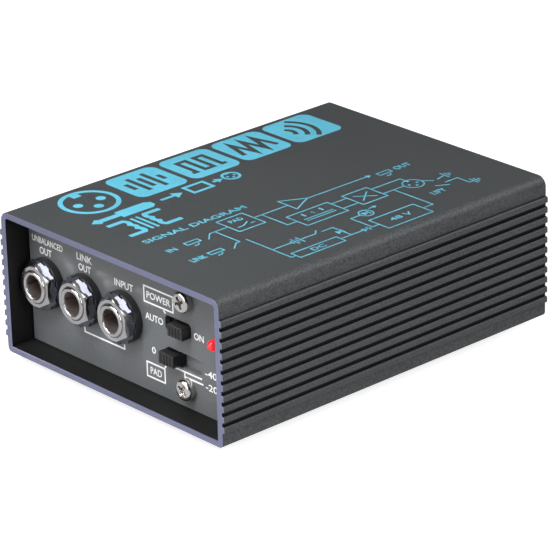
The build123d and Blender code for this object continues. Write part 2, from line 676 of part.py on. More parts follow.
def battery_housing():
    """Fixed moulded case that the drawer slides in, closed at its inner end."""
    half = TRAY_WIDTH / 2 + DRAWER_GAP
    high = TRAY_Z + TRAY_HEIGHT + DRAWER_GAP
    end = HOUSING_END
    shell = block(DRAWER_X - half - DRAWER_WALL, DRAWER_X + half + DRAWER_WALL, end - DRAWER_WALL,
                  REAR_INSIDE, HOUSING_Z, high + DRAWER_WALL)
    shell -= block(DRAWER_X - half, DRAWER_X + half, end, REAR_INSIDE + 1, TRAY_Z - DRAWER_GAP, high)
    for side in (-1, 1):
        shell -= rod(DRAWER_X + side * SNAP, battery_middle(), 1.0, end - 3, end + 1)
    shell += block(DRAWER_X - 5, DRAWER_X + 5, end + 4, REAR_INSIDE - 8, CHASSIS_TOP, HOUSING_Z)
    return shell


def battery_middle():
    """Height of the battery's terminals."""
    return BATTERY_Z + BATTERY[2] / 2


def battery_contacts():
    """Two sprung contact cups with tails through the end of the housing."""
    end = HOUSING_END
    cups = []
    for side in (-1, 1):
        x = DRAWER_X + side * SNAP
        cup = rod(x, battery_middle(), 3.4, end, end + 0.5)
        cup += rod(x, battery_middle(), 1.0, end - 2.2, end + 0.4)
        cups.append(cup)
    return group(cups)


def battery_leads():
    """Two wires from the contacts down to the main board."""
    end = HOUSING_END
    leads = []
    for side in (-1, 1):
        x = DRAWER_X + side * SNAP
        start = (x, end - 2.2, battery_middle())
        turn = (x, end - 6.6, battery_middle())
        down = (x, end - 6.6, MAIN_TOP)
        leads.append(wire([start, turn, down], 0.65, 2.2))
    return leads


def xlr_wires():
    """Three wires from the connector's tails down to the main board."""
    tail = XLR_BOTTOM - XLR_TAIL
    wires = []
    for i, (x, z) in enumerate(xlr_pin_places()):
        drop = tail - 4.5 - 2.0 * (i == 2)
        wires.append(wire([(x, tail, z), (x, drop, z), (x, drop, MAIN_TOP)], 0.65, 1.8))
    return wires


def ribbon():
    """Six parallel wires from the switch board to the main board."""
    wires = []
    for i in range(RIBBON_WIRES):
        x = RIBBON_X + RIBBON_PITCH * i
        start = (x, SWITCH_BOARD_BACK, RIBBON_Z)
        turn = (x, RIBBON_DROP, RIBBON_Z)
        wires.append(wire([start, turn, (x, RIBBON_DROP, MAIN_TOP)], 0.45, 2.5))
    return group(wires)


def lift_wires():
    """Two wires from the ground-lift switch down to the main board."""
    start_y = REAR_FACE - BODY_BACK - 2.0
    wires = []
    for i, side in enumerate((-1, 1)):
        x = LIFT_X + side * 2.0
        z = LIFT_Z
        wires.append(wire([(x, start_y, z), (x, 20.0 - i, z), (x, 20.0 - i, MAIN_TOP)], 0.6, 2.5))
    return wires


def dual_line_chip(x, y):
    """Eight-pin amplifier chip with its legs."""
    body = block(x - 4.8, x + 4.8, y - 3.2, y + 3.2, MAIN_TOP + 0.6, MAIN_TOP + 4.0)
    body -= post(x - 4.8, y, 0.8, MAIN_TOP + 3.4, MAIN_TOP + 5)
    for i in range(4):
        for side in (-1, 1):
            at = x - 3.81 + 2.54 * i
            edge = y + side * 3.4
            body += block(at - 0.35, at + 0.35, edge - 0.25, edge + 0.25, MAIN_TOP, MAIN_TOP + 2.6)
    return body


def electrolytic(x, y, radius, tall):
    """Can capacitor standing on the board, rolled edge on top."""
    can = post(x, y, radius, MAIN_TOP, MAIN_TOP + tall)
    can = fillet(can.edges().group_by(Axis.Z)[-1], 0.5)
    return can


def film_capacitor(x, y):
    """Box capacitor."""
    box = block(x - 3.6, x + 3.6, y - 1.4, y + 1.4, MAIN_TOP, MAIN_TOP + 7.0)
    return fillet(box.edges().filter_by(Axis.Z), 0.4)


def resistor(x, y):
    """Axial resistor lying on the board with bent legs."""
    height = MAIN_TOP + 1.3
    body = Pos(x, y, height) * Rot(0, 90, 0) * Cylinder(1.15, 6.2)
    body = fillet(body.edges().filter_by(GeomType.CIRCLE), 0.4)
    for side in (-1, 1):
        leg = block(x + side * 4.5 - 0.25, x + side * 4.5 + 0.25, y - 0.25, y + 0.25,
                    MAIN_TOP, height + 0.25)
        arm = block(min(0, side) * 1.5 + x + side * 3.0, max(0, side) * 1.5 + x + side * 3.0,
                    y - 0.25, y + 0.25, height - 0.25, height + 0.25)
        body += leg + arm
    return body


def transistor(x, y):
    """Small plastic transistor with one flat side and three legs."""
    case = post(x, y, 2.3, MAIN_TOP + 3.0, MAIN_TOP + 8.0)
    case -= block(x - 4, x + 4, y + 1.1, y + 5, MAIN_TOP, MAIN_TOP + 9)
    for i in (-1, 0, 1):
        case += block(x + i * 1.27 - 0.22, x + i * 1.27 + 0.22, y - 0.22, y + 0.22,
                      MAIN_TOP, MAIN_TOP + 3.2)
    return case


def grid(xs, ys):
    """Every pairing of the places in two lists."""
    return [(x, y) for x in xs for y in ys]


def write(name, shape):
    """One STEP file per node."""
    export_step(shape, f"parts/{name}.step")


os.makedirs("parts", exist_ok=True)

write("sleeve", sleeve())
write("front_panel", front_panel())
write("chassis", chassis())
write("front_screws", front_screws())
write("rubber_feet", group(foot(x, y) for x, y in foot_places()))
write("foot_screws", group(foot_screw(x, y) for x, y in foot_places()))

for name, x in zip(JACK_NAMES, jack_xs()):
    write(f"{name}_jack_bush", jack_bush(x))
    write(f"{name}_jack_body", jack_body(x))
write("jack_contacts", group(jack_contact(x) for x in jack_xs()))
write("jack_terminals", jack_terminals())
write("jack_nuts", group(jack_nut(x) for x in jack_xs()))
write("jack_lock_washers", group(tooth_washer(x) for x in jack_xs()))
write("jack_insulating_rings", group(insulating_ring(x) for x in jack_xs()))

# Rest positions: power knob at the right end, pad knob at the left end, lift knob at the top
SWITCHES = [("power", 1, front_place(1, POWER_Z), STEP / 2, 0.0),
            ("pad", 2, front_place(2, PAD_Z), -STEP, 0.0),
            ("ground_lift", 1, lift_place(), -STEP / 2, LIFT_EAR)]
for name, steps, place, offset, ear in SWITCHES:
    write(f"{name}_knob", place * knob(offset))
    write(f"{name}_shutter", place * shutter(offset, steps))
    write(f"{name}_switch_frame", place * switch_frame(steps, ear))
    write(f"{name}_switch_body", place * switch_body(steps))
write("front_switch_terminals", group([place * switch_terminals(steps, 3.0)
                                       for name, steps, place, offset, ear in SWITCHES[:2]]))
write("ground_lift_terminals", lift_place() * switch_terminals(1, 2.0))
write("ground_lift_screws", lift_screws())

write("led_lens", led_lens())
write("led_leads", led_leads())
write("led_spacer", led_spacer())
write("switch_board", switch_board())
write("switch_board_pillars", switch_board_pillars())
write("switch_board_screws", switch_board_screws())
write("switch_board_ribbon", ribbon())

write("xlr_shell", xlr_shell())
write("xlr_insert", xlr_insert())
write("xlr_pins", xlr_pins())
write("xlr_screws", xlr_screws())
write("xlr_nuts", xlr_nuts())

write("battery_drawer", battery_drawer())
write("battery_case", battery_case())
write("battery_terminals", battery_terminals())
write("battery_housing", battery_housing())
write("battery_contacts", battery_contacts())

write("main_board", main_board())
write("board_standoffs", board_standoffs())
write("board_screws", board_screws())
write("hookup_wires", group([*battery_leads(), *xlr_wires(), *lift_wires()]))
write("amplifier_chips", group(dual_line_chip(x, y) for x, y in grid((14.0, 28.0), (-20.0, 0.0))))
write("electrolytic_capacitors", group(electrolytic(x, y, 3.15, 11.5)
                                       for x, y in grid((9.0, 17.5, 26.0), (-9.5, 9.5))))
write("film_capacitors", group(film_capacitor(x, y) for x, y in grid((-27.0, -18.0), (-18.0, -13.5))))
write("resistors", group(resistor(x, y) for x, y in grid((11.0, 27.0), (-27.5, -15.0, 5.0))))
write("transistors", group(transistor(x, y) for x, y in grid((34.5,), (-10.0, 10.0, 15.0))))
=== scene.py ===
import json
import math
import bmesh
import bpy
from mathutils import Matrix, Vector


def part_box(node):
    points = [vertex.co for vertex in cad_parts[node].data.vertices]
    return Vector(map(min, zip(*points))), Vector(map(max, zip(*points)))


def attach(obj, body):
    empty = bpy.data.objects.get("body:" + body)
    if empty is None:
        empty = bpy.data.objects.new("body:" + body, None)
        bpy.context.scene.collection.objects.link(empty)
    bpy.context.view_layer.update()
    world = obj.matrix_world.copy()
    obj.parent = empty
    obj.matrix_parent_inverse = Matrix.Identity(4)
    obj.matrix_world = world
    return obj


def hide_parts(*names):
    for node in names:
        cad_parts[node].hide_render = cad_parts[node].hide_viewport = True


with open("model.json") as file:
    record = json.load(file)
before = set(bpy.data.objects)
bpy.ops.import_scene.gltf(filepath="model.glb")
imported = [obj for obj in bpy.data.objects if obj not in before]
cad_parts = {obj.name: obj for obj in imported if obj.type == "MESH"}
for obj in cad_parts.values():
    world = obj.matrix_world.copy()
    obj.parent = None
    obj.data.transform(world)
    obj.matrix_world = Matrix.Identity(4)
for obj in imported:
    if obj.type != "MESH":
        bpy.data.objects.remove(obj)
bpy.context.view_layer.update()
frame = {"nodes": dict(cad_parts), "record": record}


# Camera
# A long lens nearly a metre away, in front of the box, to its right and above it.
CAMERA_TARGET = Vector((-0.00089, 0.00003, 0.01955))
CAMERA_DISTANCE = 0.9242
CAMERA_AZIMUTH = math.radians(48.18)
CAMERA_ELEVATION = math.radians(22.88)
CAMERA_ROLL = math.radians(-1.51)
CAMERA_LENS = 227.97


def direction(azimuth, elevation):
    """The way from the object towards something at this azimuth and elevation."""
    flat = math.cos(elevation)
    return Vector((math.sin(azimuth) * flat, -math.cos(azimuth) * flat, math.sin(elevation)))


camera = bpy.data.objects.new("camera", bpy.data.cameras.new("camera"))
camera.data.lens = CAMERA_LENS
camera.data.sensor_width = 36.0
towards_camera = direction(CAMERA_AZIMUTH, CAMERA_ELEVATION)
camera.rotation_mode = "QUATERNION"
level = (-towards_camera).to_track_quat("-Z", "Y")
roll = Matrix.Rotation(CAMERA_ROLL, 3, "Z").to_quaternion()
camera.rotation_quaternion = level @ roll
camera.location = CAMERA_TARGET + towards_camera * CAMERA_DISTANCE
bpy.context.scene.collection.objects.link(camera)
bpy.context.scene.camera = camera


# Studio
# A wide flat floor, soft lights in front, above, to the right and behind, and a dim sky. The floor
# glows towards the camera only, so that it looks white without lighting the box from below.
def blank_finish(name, **numbers):
    """A material whose even numbers and colours sit on the shader's own sockets."""
    finish = bpy.data.materials.new(name)
    finish.use_nodes = True
    shader = finish.node_tree.nodes["Principled BSDF"]
    for socket, number in numbers.items():
        shader.inputs[socket.replace("_", " ")].default_value = number
    return finish


def soft_light(name, azimuth, elevation, distance, size, watts, colour, aim=(0.0, 0.0, 0.0), spread=180):
    """A rectangular studio lamp that faces a point on the object, with its beam in degrees."""
    lamp = bpy.data.lights.new(name, "AREA")
    lamp.shape = "RECTANGLE"
    lamp.size, lamp.size_y = size
    lamp.energy = watts
    lamp.color = colour
    lamp.spread = math.radians(spread)
    holder = bpy.data.objects.new(name, lamp)
    way = direction(math.radians(azimuth), math.radians(elevation))
    holder.location = way * distance + Vector(aim)
    holder.rotation_mode = "QUATERNION"
    holder.rotation_quaternion = (-way).to_track_quat("-Z", "Y")
    bpy.context.scene.collection.objects.link(holder)


soft_light("front_light", -14, 16, 1.0, (1.0, 0.55), 6.2, (1.0, 0.98, 0.96))
soft_light("key_light", -34, 36, 1.1, (0.3, 0.3), 1.2, (1.0, 0.98, 0.96))
soft_light("overhead_light", 0, 58, 0.42, (0.2, 0.2), 0.2, (0.96, 0.97, 1.0), (0.0, -0.075, 0.03), 45)
soft_light("right_light", 80, 32, 0.9, (0.3, 0.6), 5.2, (0.97, 0.98, 1.0))
soft_light("edge_light", 148, 43, 1.2, (0.35, 0.3), 3.8, (0.86, 0.88, 1.0))
soft_light("rear_light", 190, 12, 1.1, (0.4, 0.3), 5.0, (1.0, 1.0, 1.0))

world = bpy.data.worlds.new("studio")
world.use_nodes = True
world.node_tree.nodes["Background"].inputs["Color"].default_value = (0.86, 0.9, 1.0, 1.0)
world.node_tree.nodes["Background"].inputs["Strength"].default_value = 0.05
bpy.context.scene.world = world
bpy.context.scene.view_settings.view_transform = "Standard"

FLOOR_SIZE = 30.0
FLOOR_GREY = (0.5, 0.5, 0.5, 1.0)
FLOOR_GLOW = 0.8
floor_shape = bmesh.new()
bmesh.ops.create_grid(floor_shape, x_segments=1, y_segments=1, size=FLOOR_SIZE / 2)
floor_mesh = bpy.data.meshes.new("floor")
floor_shape.to_mesh(floor_mesh)
floor_shape.free()
floor_paper = blank_finish("floor_paper", Roughness=0.85, Base_Color=FLOOR_GREY,
                           Emission_Color=(1.0, 1.0, 1.0, 1.0))
floor_mesh.materials.append(floor_paper)
floor_tree = floor_paper.node_tree
seen = floor_tree.nodes.new("ShaderNodeLightPath").outputs["Is Camera Ray"]
glow = floor_tree.nodes.new("ShaderNodeMath")
glow.operation = "MULTIPLY"
glow.inputs[1].default_value = FLOOR_GLOW
floor_tree.links.new(seen, glow.inputs[0])
floor_tree.links.new(glow.outputs[0], floor_tree.nodes["Principled BSDF"].inputs["Emission Strength"])
floor = bpy.data.objects.new("floor", floor_mesh)
bpy.context.scene.collection.objects.link(floor)


# Sleeve
# An extruded aluminium tube with eleven ribs on each side, blasted, black anodised and sawn to length,
# so that its two cut ends are bare metal. It slides over the chassis.
MM = 0.001


def corners(*nodes):
    """Lowest and highest corner of some CAD nodes, in millimetres."""
    boxes = [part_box(node) for node in nodes]
    low = [min(box[0][i] for box in boxes) / MM for i in range(3)]
    high = [max(box[1][i] for box in boxes) / MM for i in range(3)]
    return Vector(low), Vector(high)


def middle(low, high):
    """The point halfway between two corners."""
    return (low + high) / 2


def new_group(name, inputs, outputs):
    """An empty shader group with number inputs and their starting values, and number outputs."""
    group = bpy.data.node_groups.new(name, "ShaderNodeTree")
    for socket, number in inputs.items():
        made = group.interface.new_socket(socket, in_out="INPUT", socket_type="NodeSocketFloat")
        made.default_value = number
    for socket in outputs:
        group.interface.new_socket(socket, in_out="OUTPUT", socket_type="NodeSocketFloat")
    return group, group.nodes.new("NodeGroupInput"), group.nodes.new("NodeGroupOutput")


def worked(tree, operation, first, second):
    """A math node fed by two numbers or sockets."""
    node = tree.nodes.new("ShaderNodeMath")
    node.operation = operation
    for socket, value in zip(node.inputs, (first, second)):
        if isinstance(value, (int, float)):
            socket.default_value = value
        else:
            tree.links.new(value, socket)
    return node.outputs[0]


def noise(tree, vector, scale, detail):
    """A noise texture on a vector, with its scale given as a number or a socket."""
    node = tree.nodes.new("ShaderNodeTexNoise")
    node.inputs["Detail"].default_value = detail
    tree.links.new(vector, node.inputs["Vector"])
    if isinstance(scale, (int, float)):
        node.inputs["Scale"].default_value = scale
    else:
        tree.links.new(scale, node.inputs["Scale"])
    return node.outputs["Fac"]


def build_grain_group():
    """Fine grain and slow drift over a surface, each from 0 to 1, with their sizes in millimetres."""
    group, given, result = new_group("grain_and_drift", {"Grain mm": 0.3, "Drift mm": 20.0},
                                     ["Grain", "Drift"])
    place = group.nodes.new("ShaderNodeTexCoord").outputs["Object"]
    for name in ("Grain", "Drift"):
        scale = worked(group, "DIVIDE", 1000.0, given.outputs[f"{name} mm"])
        value = noise(group, place, scale, detail=3.0)
        spread = worked(group, "MULTIPLY_ADD", value, 2.4)
        spread.node.inputs[2].default_value = -0.7
        spread.node.use_clamp = True
        group.links.new(spread, result.inputs[name])
    return group


def build_edge_group():
    """A mask of rubbed edges: where a rounded normal leaves the real one, broken up by noise."""
    group, given, result = new_group("rubbed_edges", {"Width mm": 0.2, "Amount": 1.0}, ["Edge"])
    rounded = group.nodes.new("ShaderNodeBevel")
    rounded.samples = 4
    group.links.new(worked(group, "MULTIPLY", given.outputs["Width mm"], MM),
                    rounded.inputs["Radius"])
    geometry = group.nodes.new("ShaderNodeNewGeometry")
    match = group.nodes.new("ShaderNodeVectorMath")
    match.operation = "DOT_PRODUCT"
    group.links.new(rounded.outputs["Normal"], match.inputs[0])
    group.links.new(geometry.outputs["Normal"], match.inputs[1])
    bent = worked(group, "SUBTRACT", 1.0, match.outputs["Value"])
    place = group.nodes.new("ShaderNodeTexCoord").outputs["Object"]
    patchy = noise(group, place, 900.0, detail=4.0)
    strong = worked(group, "MULTIPLY", worked(group, "MULTIPLY", bent, 5.0), patchy)
    mask = worked(group, "MULTIPLY", strong, given.outputs["Amount"])
    mask.node.use_clamp = True
    group.links.new(mask, result.inputs["Edge"])
    return group


def build_painted_shade_group():
    """A mask of painted shade in narrow hollows, from the light that they hide within a reach in millimetres.
    """
    group, given, result = new_group("painted_recess_shade", {"Reach mm": 1.6, "Amount": 1.0}, ["Recess"])
    hidden = group.nodes.new("ShaderNodeAmbientOcclusion")
    hidden.samples = 6
    group.links.new(worked(group, "MULTIPLY", given.outputs["Reach mm"], MM), hidden.inputs["Distance"])
    dark = worked(group, "MULTIPLY_ADD", hidden.outputs["AO"], -3.6)
    dark.node.inputs[2].default_value = 3.1
    dark.node.use_clamp = True
    group.links.new(worked(group, "MULTIPLY", dark, given.outputs["Amount"]), result.inputs["Recess"])
    return group


GRAIN = build_grain_group()
EDGES = build_edge_group()
# Painted shade for narrow hollows, taken from ambient occlusion.
RECESS_SHADE = build_painted_shade_group()


def use_group(finish, group, **numbers):
    """Places a shader group in a material, with its own numbers, and returns its outputs."""
    node = finish.node_tree.nodes.new("ShaderNodeGroup")
    node.node_tree = group
    for socket, number in numbers.items():
        node.inputs[socket.replace("_", " ")].default_value = number
    return node.outputs


def sweep(finish, value, socket, low, high):
    """Lets a value from 0 to 1 carry one of the shader's numbers from low to high."""
    node = finish.node_tree.nodes.new("ShaderNodeMapRange")
    node.inputs["To Min"].default_value = low
    node.inputs["To Max"].default_value = high
    finish.node_tree.links.new(value, node.inputs["Value"])
    shader = finish.node_tree.nodes["Principled BSDF"]
    finish.node_tree.links.new(node.outputs["Result"], shader.inputs[socket])


def blended(finish, value, first, second):
    """Mixes two colours, given as numbers or as sockets, by a value."""
    node = finish.node_tree.nodes.new("ShaderNodeMix")
    node.data_type = "RGBA"
    finish.node_tree.links.new(value, node.inputs["Factor"])
    for name, colour in (("A", first), ("B", second)):
        socket = next(s for s in node.inputs if s.name == name and s.type == "RGBA")
        if isinstance(colour, tuple):
            socket.default_value = (*colour, 1.0)
        else:
            finish.node_tree.links.new(colour, socket)
    return next(s for s in node.outputs if s.type == "RGBA")


def paint(finish, colour):
    """Feeds a colour socket to the shader's base colour."""
    shader = finish.node_tree.nodes["Principled BSDF"]
    finish.node_tree.links.new(colour, shader.inputs["Base Color"])


def relief(finish, value, depth, strength):
    """Raises the surface by a value from 0 to 1, with its depth in millimetres."""
    node = finish.node_tree.nodes.new("ShaderNodeBump")
    node.inputs["Strength"].default_value = strength
    node.inputs["Distance"].default_value = depth * MM
    finish.node_tree.links.new(value, node.inputs["Height"])
    shader = finish.node_tree.nodes["Principled BSDF"]
    finish.node_tree.links.new(node.outputs["Normal"], shader.inputs["Normal"])


def add_piece(name, shape, body, slot, *finishes, stands_for=(), sharp=35.0, soften=0.0):
    """Makes a piece from a bmesh in millimetres, with its sharp edges softened by a width, and lets it
    ride on a body."""
    bmesh.ops.scale(shape, vec=(MM, MM, MM), verts=shape.verts)
    mesh = bpy.data.meshes.new(name)
    shape.to_mesh(mesh)
    shape.free()
    mesh.shade_smooth()
    mesh.set_sharp_from_angle(angle=math.radians(sharp))
    for finish in finishes:
        mesh.materials.append(finish)
    made = bpy.data.objects.new(name, mesh)
    bpy.context.scene.collection.objects.link(made)
    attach(made, body)
    if stands_for:
        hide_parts(*stands_for)
    if soften:
        rounding = made.modifiers.new("softening", "BEVEL")
        rounding.width = soften * MM
        rounding.segments = 2
        rounding.limit_method = "ANGLE"
        rounding.angle_limit = math.radians(40)
        rounding.harden_normals = False
    return made


def even_shading(piece):
    """Lets large flat faces lead the shading, so that rounded edges don't darken them."""
    weight = piece.modifiers.new("even_shading", "WEIGHTED_NORMAL")
    weight.keep_sharp = True
    weight.weight = 100


def anodised_black(name, low, high, speckle, gloss):
    """Black anodised aluminium: speckled charcoal, with paler rubbed edges and painted shade that darkens its
    narrow hollows.
    """
    finish = blank_finish(name, Specular_IOR_Level=gloss)
    fine = use_group(finish, GRAIN, Grain_mm=0.5, Drift_mm=38.0)
    edge = use_group(finish, EDGES, Width_mm=0.3, Amount=0.55)["Edge"]
    recess_shade = use_group(finish, RECESS_SHADE, Reach_mm=2.0, Amount=0.97)["Recess"]
    ground = blended(finish, fine["Drift"], low, high)
    speckled = blended(finish, fine["Grain"], ground, speckle)
    rubbed = blended(finish, edge, speckled, (0.10, 0.105, 0.13))
    # Painted shade: the colour goes nearly black in narrow hollows, where the ambient occlusion mask is
    # strong.
    paint(finish, blended(finish, recess_shade, rubbed, (0.003, 0.003, 0.003)))
    sweep(finish, fine["Grain"], "Roughness", 0.42, 0.58)
    relief(finish, fine["Grain"], 0.02, 0.55)
    return finish


def sawn_ends():
    """Bare sawn aluminium with fine parallel saw lines and a cool cast."""
    finish = blank_finish("sawn_ends", Metallic=1.0)
    tree = finish.node_tree
    place = tree.nodes.new("ShaderNodeTexCoord").outputs["Object"]
    lines = tree.nodes.new("ShaderNodeMapping")
    lines.inputs["Scale"].default_value = (300.0, 1.0, 5200.0)
    tree.links.new(place, lines.inputs["Vector"])
    cuts = noise(tree, lines.outputs["Vector"], 1.0, detail=3.0)
    paint(finish, blended(finish, cuts, (0.20, 0.215, 0.32), (0.30, 0.31, 0.44)))
    sweep(finish, cuts, "Roughness", 0.34, 0.52)
    relief(finish, cuts, 0.01, 0.4)
    return finish


RIBS = 11
RIB_PITCH = 2.87
RIB_LOWEST = 4.3
RIB_STAND = 0.75
RIB_FACE = 1.42
RIB_SLOPE = 0.3
SLEEVE_WALL = 1.7
TOP_ROUND = 2.7
BOTTOM_ROUND = 1.3
INNER_ROUND = 0.9
SLEEVE_SOFTENING = 0.11
FIT = 0.01

ANODISED = anodised_black("anodised_black", (0.020, 0.022, 0.022), (0.030, 0.032, 0.032),
                          (0.082, 0.086, 0.086), 0.38)
# A darker copy of the same anodising: painted shade for the tube's inside and for the floors and shelves of
# its grooves.
SLEEVE_PAINTED_SHADE = anodised_black("sleeve_painted_shade", (0.004, 0.004, 0.004), (0.007, 0.007, 0.007),
                               (0.014, 0.014, 0.014), 0.15)
SAWN = sawn_ends()
sleeve_low, sleeve_high = corners("sleeve")


def sleeve_outline():
    """Half of the tube's section as one closed outline: down the outside, then up the inside."""
    half = sleeve_high.x - RIB_STAND
    low, high = sleeve_low.z, sleeve_high.z
    outside = [(0.0, high), (half, high)]
    for i in reversed(range(RIBS)):
        z = low + RIB_LOWEST + i * RIB_PITCH
        top = z + RIB_FACE + RIB_SLOPE
        outside += [(half, top), (half + RIB_STAND - RIB_SLOPE, top), (half + RIB_STAND, z + RIB_FACE),
                    (half + RIB_STAND, z), (half, z)]
    outside += [(half, low), (0.0, low)]
    inside = [(0.0, low + SLEEVE_WALL), (half - SLEEVE_WALL, low + SLEEVE_WALL),
              (half - SLEEVE_WALL, high - SLEEVE_WALL), (0.0, high - SLEEVE_WALL)]
    return outside + inside


def long_edges(shape, x, z):
    """The edges that run the whole way along Y at these distances from the middle and the floor."""
    return [e for e in shape.edges
            if all(abs(abs(v.co.x) - x) < FIT and abs(v.co.z - z) < FIT for v in e.verts)
            and abs(e.verts[0].co.y - e.verts[1].co.y) > 1.0]


def rounded(shape, edges, radius, steps):
    """Rounds some edges of a bmesh."""
    bmesh.ops.bevel(shape, geom=edges, offset=radius, offset_type="OFFSET", segments=steps,
                    profile=0.5, affect="EDGES", material=-1, clamp_overlap=False)


def grown(shape, faces, way):
    """Extrudes faces along a vector."""
    made = bmesh.ops.extrude_face_region(shape, geom=faces)
    moved = [v for v in made["geom"] if isinstance(v, bmesh.types.BMVert)]
    bmesh.ops.translate(shape, verts=moved, vec=way)


def build_sleeve():
    """The whole tube with its corners rounded and its sharp edges softened."""
    shape = bmesh.new()
    section = [shape.verts.new((x, sleeve_low.y, z)) for x, z in sleeve_outline()]
    grown(shape, [shape.faces.new(section)], (0.0, sleeve_high.y - sleeve_low.y, 0.0))
    seam = [f for f in shape.faces if all(abs(v.co.x) < 0.001 for v in f.verts)]
    bmesh.ops.delete(shape, geom=seam, context="FACES")
    bmesh.ops.mirror(shape, geom=[*shape.verts, *shape.edges, *shape.faces], axis="X",
                     merge_dist=0.001)
    bmesh.ops.recalc_face_normals(shape, faces=shape.faces)
    half = sleeve_high.x - RIB_STAND
    low, high = sleeve_low.z, sleeve_high.z
    rounded(shape, long_edges(shape, half, high), TOP_ROUND, 10)
    rounded(shape, long_edges(shape, half, low), BOTTOM_ROUND, 6)
    inner = half - SLEEVE_WALL
    rounded(shape, long_edges(shape, inner, high - SLEEVE_WALL), INNER_ROUND, 5)
    crisp = [e for e in shape.edges
             if e.is_manifold and e.is_convex and e.calc_face_angle() > math.radians(25)]
    rounded(shape, crisp, SLEEVE_SOFTENING, 2)
    lowest_rib = low + RIB_LOWEST
    highest_rib = lowest_rib + (RIBS - 1) * RIB_PITCH
    core = 0.5 * SLEEVE_WALL
    for face in shape.faces:
        centre = face.calc_center_median()
        at_end = min(centre.y - sleeve_low.y, sleeve_high.y - centre.y) < SLEEVE_SOFTENING
        inside = abs(centre.x) < half - core and low + core < centre.z < high - core
        shelf = abs(face.normal.z) > 0.9 and abs(centre.x) > half
        groove_floor = abs(abs(centre.x) - half) < 0.1
        groove = lowest_rib < centre.z < highest_rib and (groove_floor or shelf)
        # Material 1 is the sawn metal; material 2, the darker copy, is painted shade on the inside faces and
        # in the grooves.
        face.material_index = 1 if at_end else 2 if inside or groove else 0
    return shape


even_shading(add_piece("ribbed_sleeve", build_sleeve(), "box", "sleeve_black", ANODISED, SAWN, SLEEVE_PAINTED_SHADE,
                       stands_for=["sleeve"], sharp=50.0))


# Printing on the sleeve's top
# Sky-blue screen ink: four tiles with wave signs, a ring of pins, a row of signs and a signal diagram.
# It reads from the box's left side, so its artwork runs along +Y and its upper side lies towards -X.
INK = 0.03
THIN = 0.36
DOT_STEPS = 20


def screen_ink(name, colour, worn):
    """Slightly uneven screen ink, a little thinner in places."""
    finish = blank_finish(name, Specular_IOR_Level=0.4)
    fine = use_group(finish, GRAIN, Grain_mm=0.35, Drift_mm=9.0)
    even = blended(finish, fine["Drift"], colour, tuple(0.88 * part for part in colour))
    cover = finish.node_tree.nodes.new("ShaderNodeMapRange")
    cover.inputs["From Max"].default_value = 0.25
    finish.node_tree.links.new(fine["Grain"], cover.inputs["Value"])
    paint(finish, blended(finish, cover.outputs["Result"], worn, even))
    sweep(finish, fine["Grain"], "Roughness", 0.4, 0.55)
    relief(finish, fine["Grain"], 0.01, 0.4)
    return finish


def arc(centre, radius, start, end, steps):
    """Points of an arc, with its angles in degrees."""
    turns = [math.radians(start + (end - start) * i / steps) for i in range(steps + 1)]
    return [(centre[0] + radius * math.cos(t), centre[1] + radius * math.sin(t)) for t in turns]


def slab(outline, thick):
    """A flat plate from a closed outline, standing on its plane."""
    shape = bmesh.new()
    face = shape.faces.new([shape.verts.new((x, y, 0.0)) for x, y in outline])
    face.normal_update()
    if face.normal.z < 0.0:
        face.normal_flip()
    grown(shape, [face], (0.0, 0.0, thick))
    return shape


def band(points, width):
    """Outline of an even line through some points, with mitred corners."""
    places = [Vector(p) for p in points]
    runs = [(b - a).normalized() for a, b in zip(places, places[1:])]
    left, right = [], []
    for i, place in enumerate(places):
        before = runs[max(i - 1, 0)]
        after = runs[min(i, len(runs) - 1)]
        across = Vector((-before.y, before.x))
        mitre = (across + Vector((-after.y, after.x))).normalized()
        reach = mitre * (width / 2 / mitre.dot(across))
        left.append(tuple(place + reach))
        right.append(tuple(place - reach))
    return left + right[::-1]


def line(points, width=THIN):
    """A printed line through some points."""
    return slab(band(points, width), INK)


def frame_line(x0, y0, x1, y1, width=THIN):
    """A printed rectangle, closed in the middle of its lower side."""
    start = ((x0 + x1) / 2, y0)
    return line([start, (x1, y0), (x1, y1), (x0, y1), (x0, y0), start], width)


def turned(profile, steps, closed=False):
    """A body turned about Z from (radius, height) points."""
    shape = bmesh.new()
    verts = [shape.verts.new((r, 0.0, z)) for r, z in profile]
    ends = zip(verts, verts[1:] + verts[:1]) if closed else zip(verts, verts[1:])
    edges = [shape.edges.new(pair) for pair in ends]
    bmesh.ops.spin(shape, geom=verts + edges, cent=(0, 0, 0), axis=(0, 0, 1), dvec=(0, 0, 0),
                   angle=2 * math.pi, steps=steps, use_merge=True, use_duplicate=False)
    bmesh.ops.remove_doubles(shape, verts=shape.verts, dist=0.001)
    bmesh.ops.recalc_face_normals(shape, faces=shape.faces)
    return shape


def rod(radius, low, high, steps):
    """A solid round rod along Z between two heights."""
    return turned([(0, low), (radius, low), (radius, high), (0, high)], steps)


def moved(shape, matrix):
    """Puts a bmesh somewhere else."""
    bmesh.ops.transform(shape, matrix=matrix, verts=shape.verts)
    return shape


def at(x, y, z=0.0):
    """A shift, in millimetres."""
    return Matrix.Translation((x, y, z))


def ring(x, y, radius, width=THIN, steps=32):
    """A printed ring."""
    inner, outer = radius - width / 2, radius + width / 2
    return moved(turned([(inner, 0), (outer, 0), (outer, INK), (inner, INK)], steps, True), at(x, y))


def dot(x, y, radius):
    """A printed disc."""
    return moved(rod(radius, 0, INK, DOT_STEPS), at(x, y))


def gathered(shapes):
    """Several bmeshes as one."""
    whole = bmesh.new()
    for shape in shapes:
        mesh = bpy.data.meshes.new("part")
        shape.to_mesh(mesh)
        shape.free()
        whole.from_mesh(mesh)
        bpy.data.meshes.remove(mesh)
    return whole


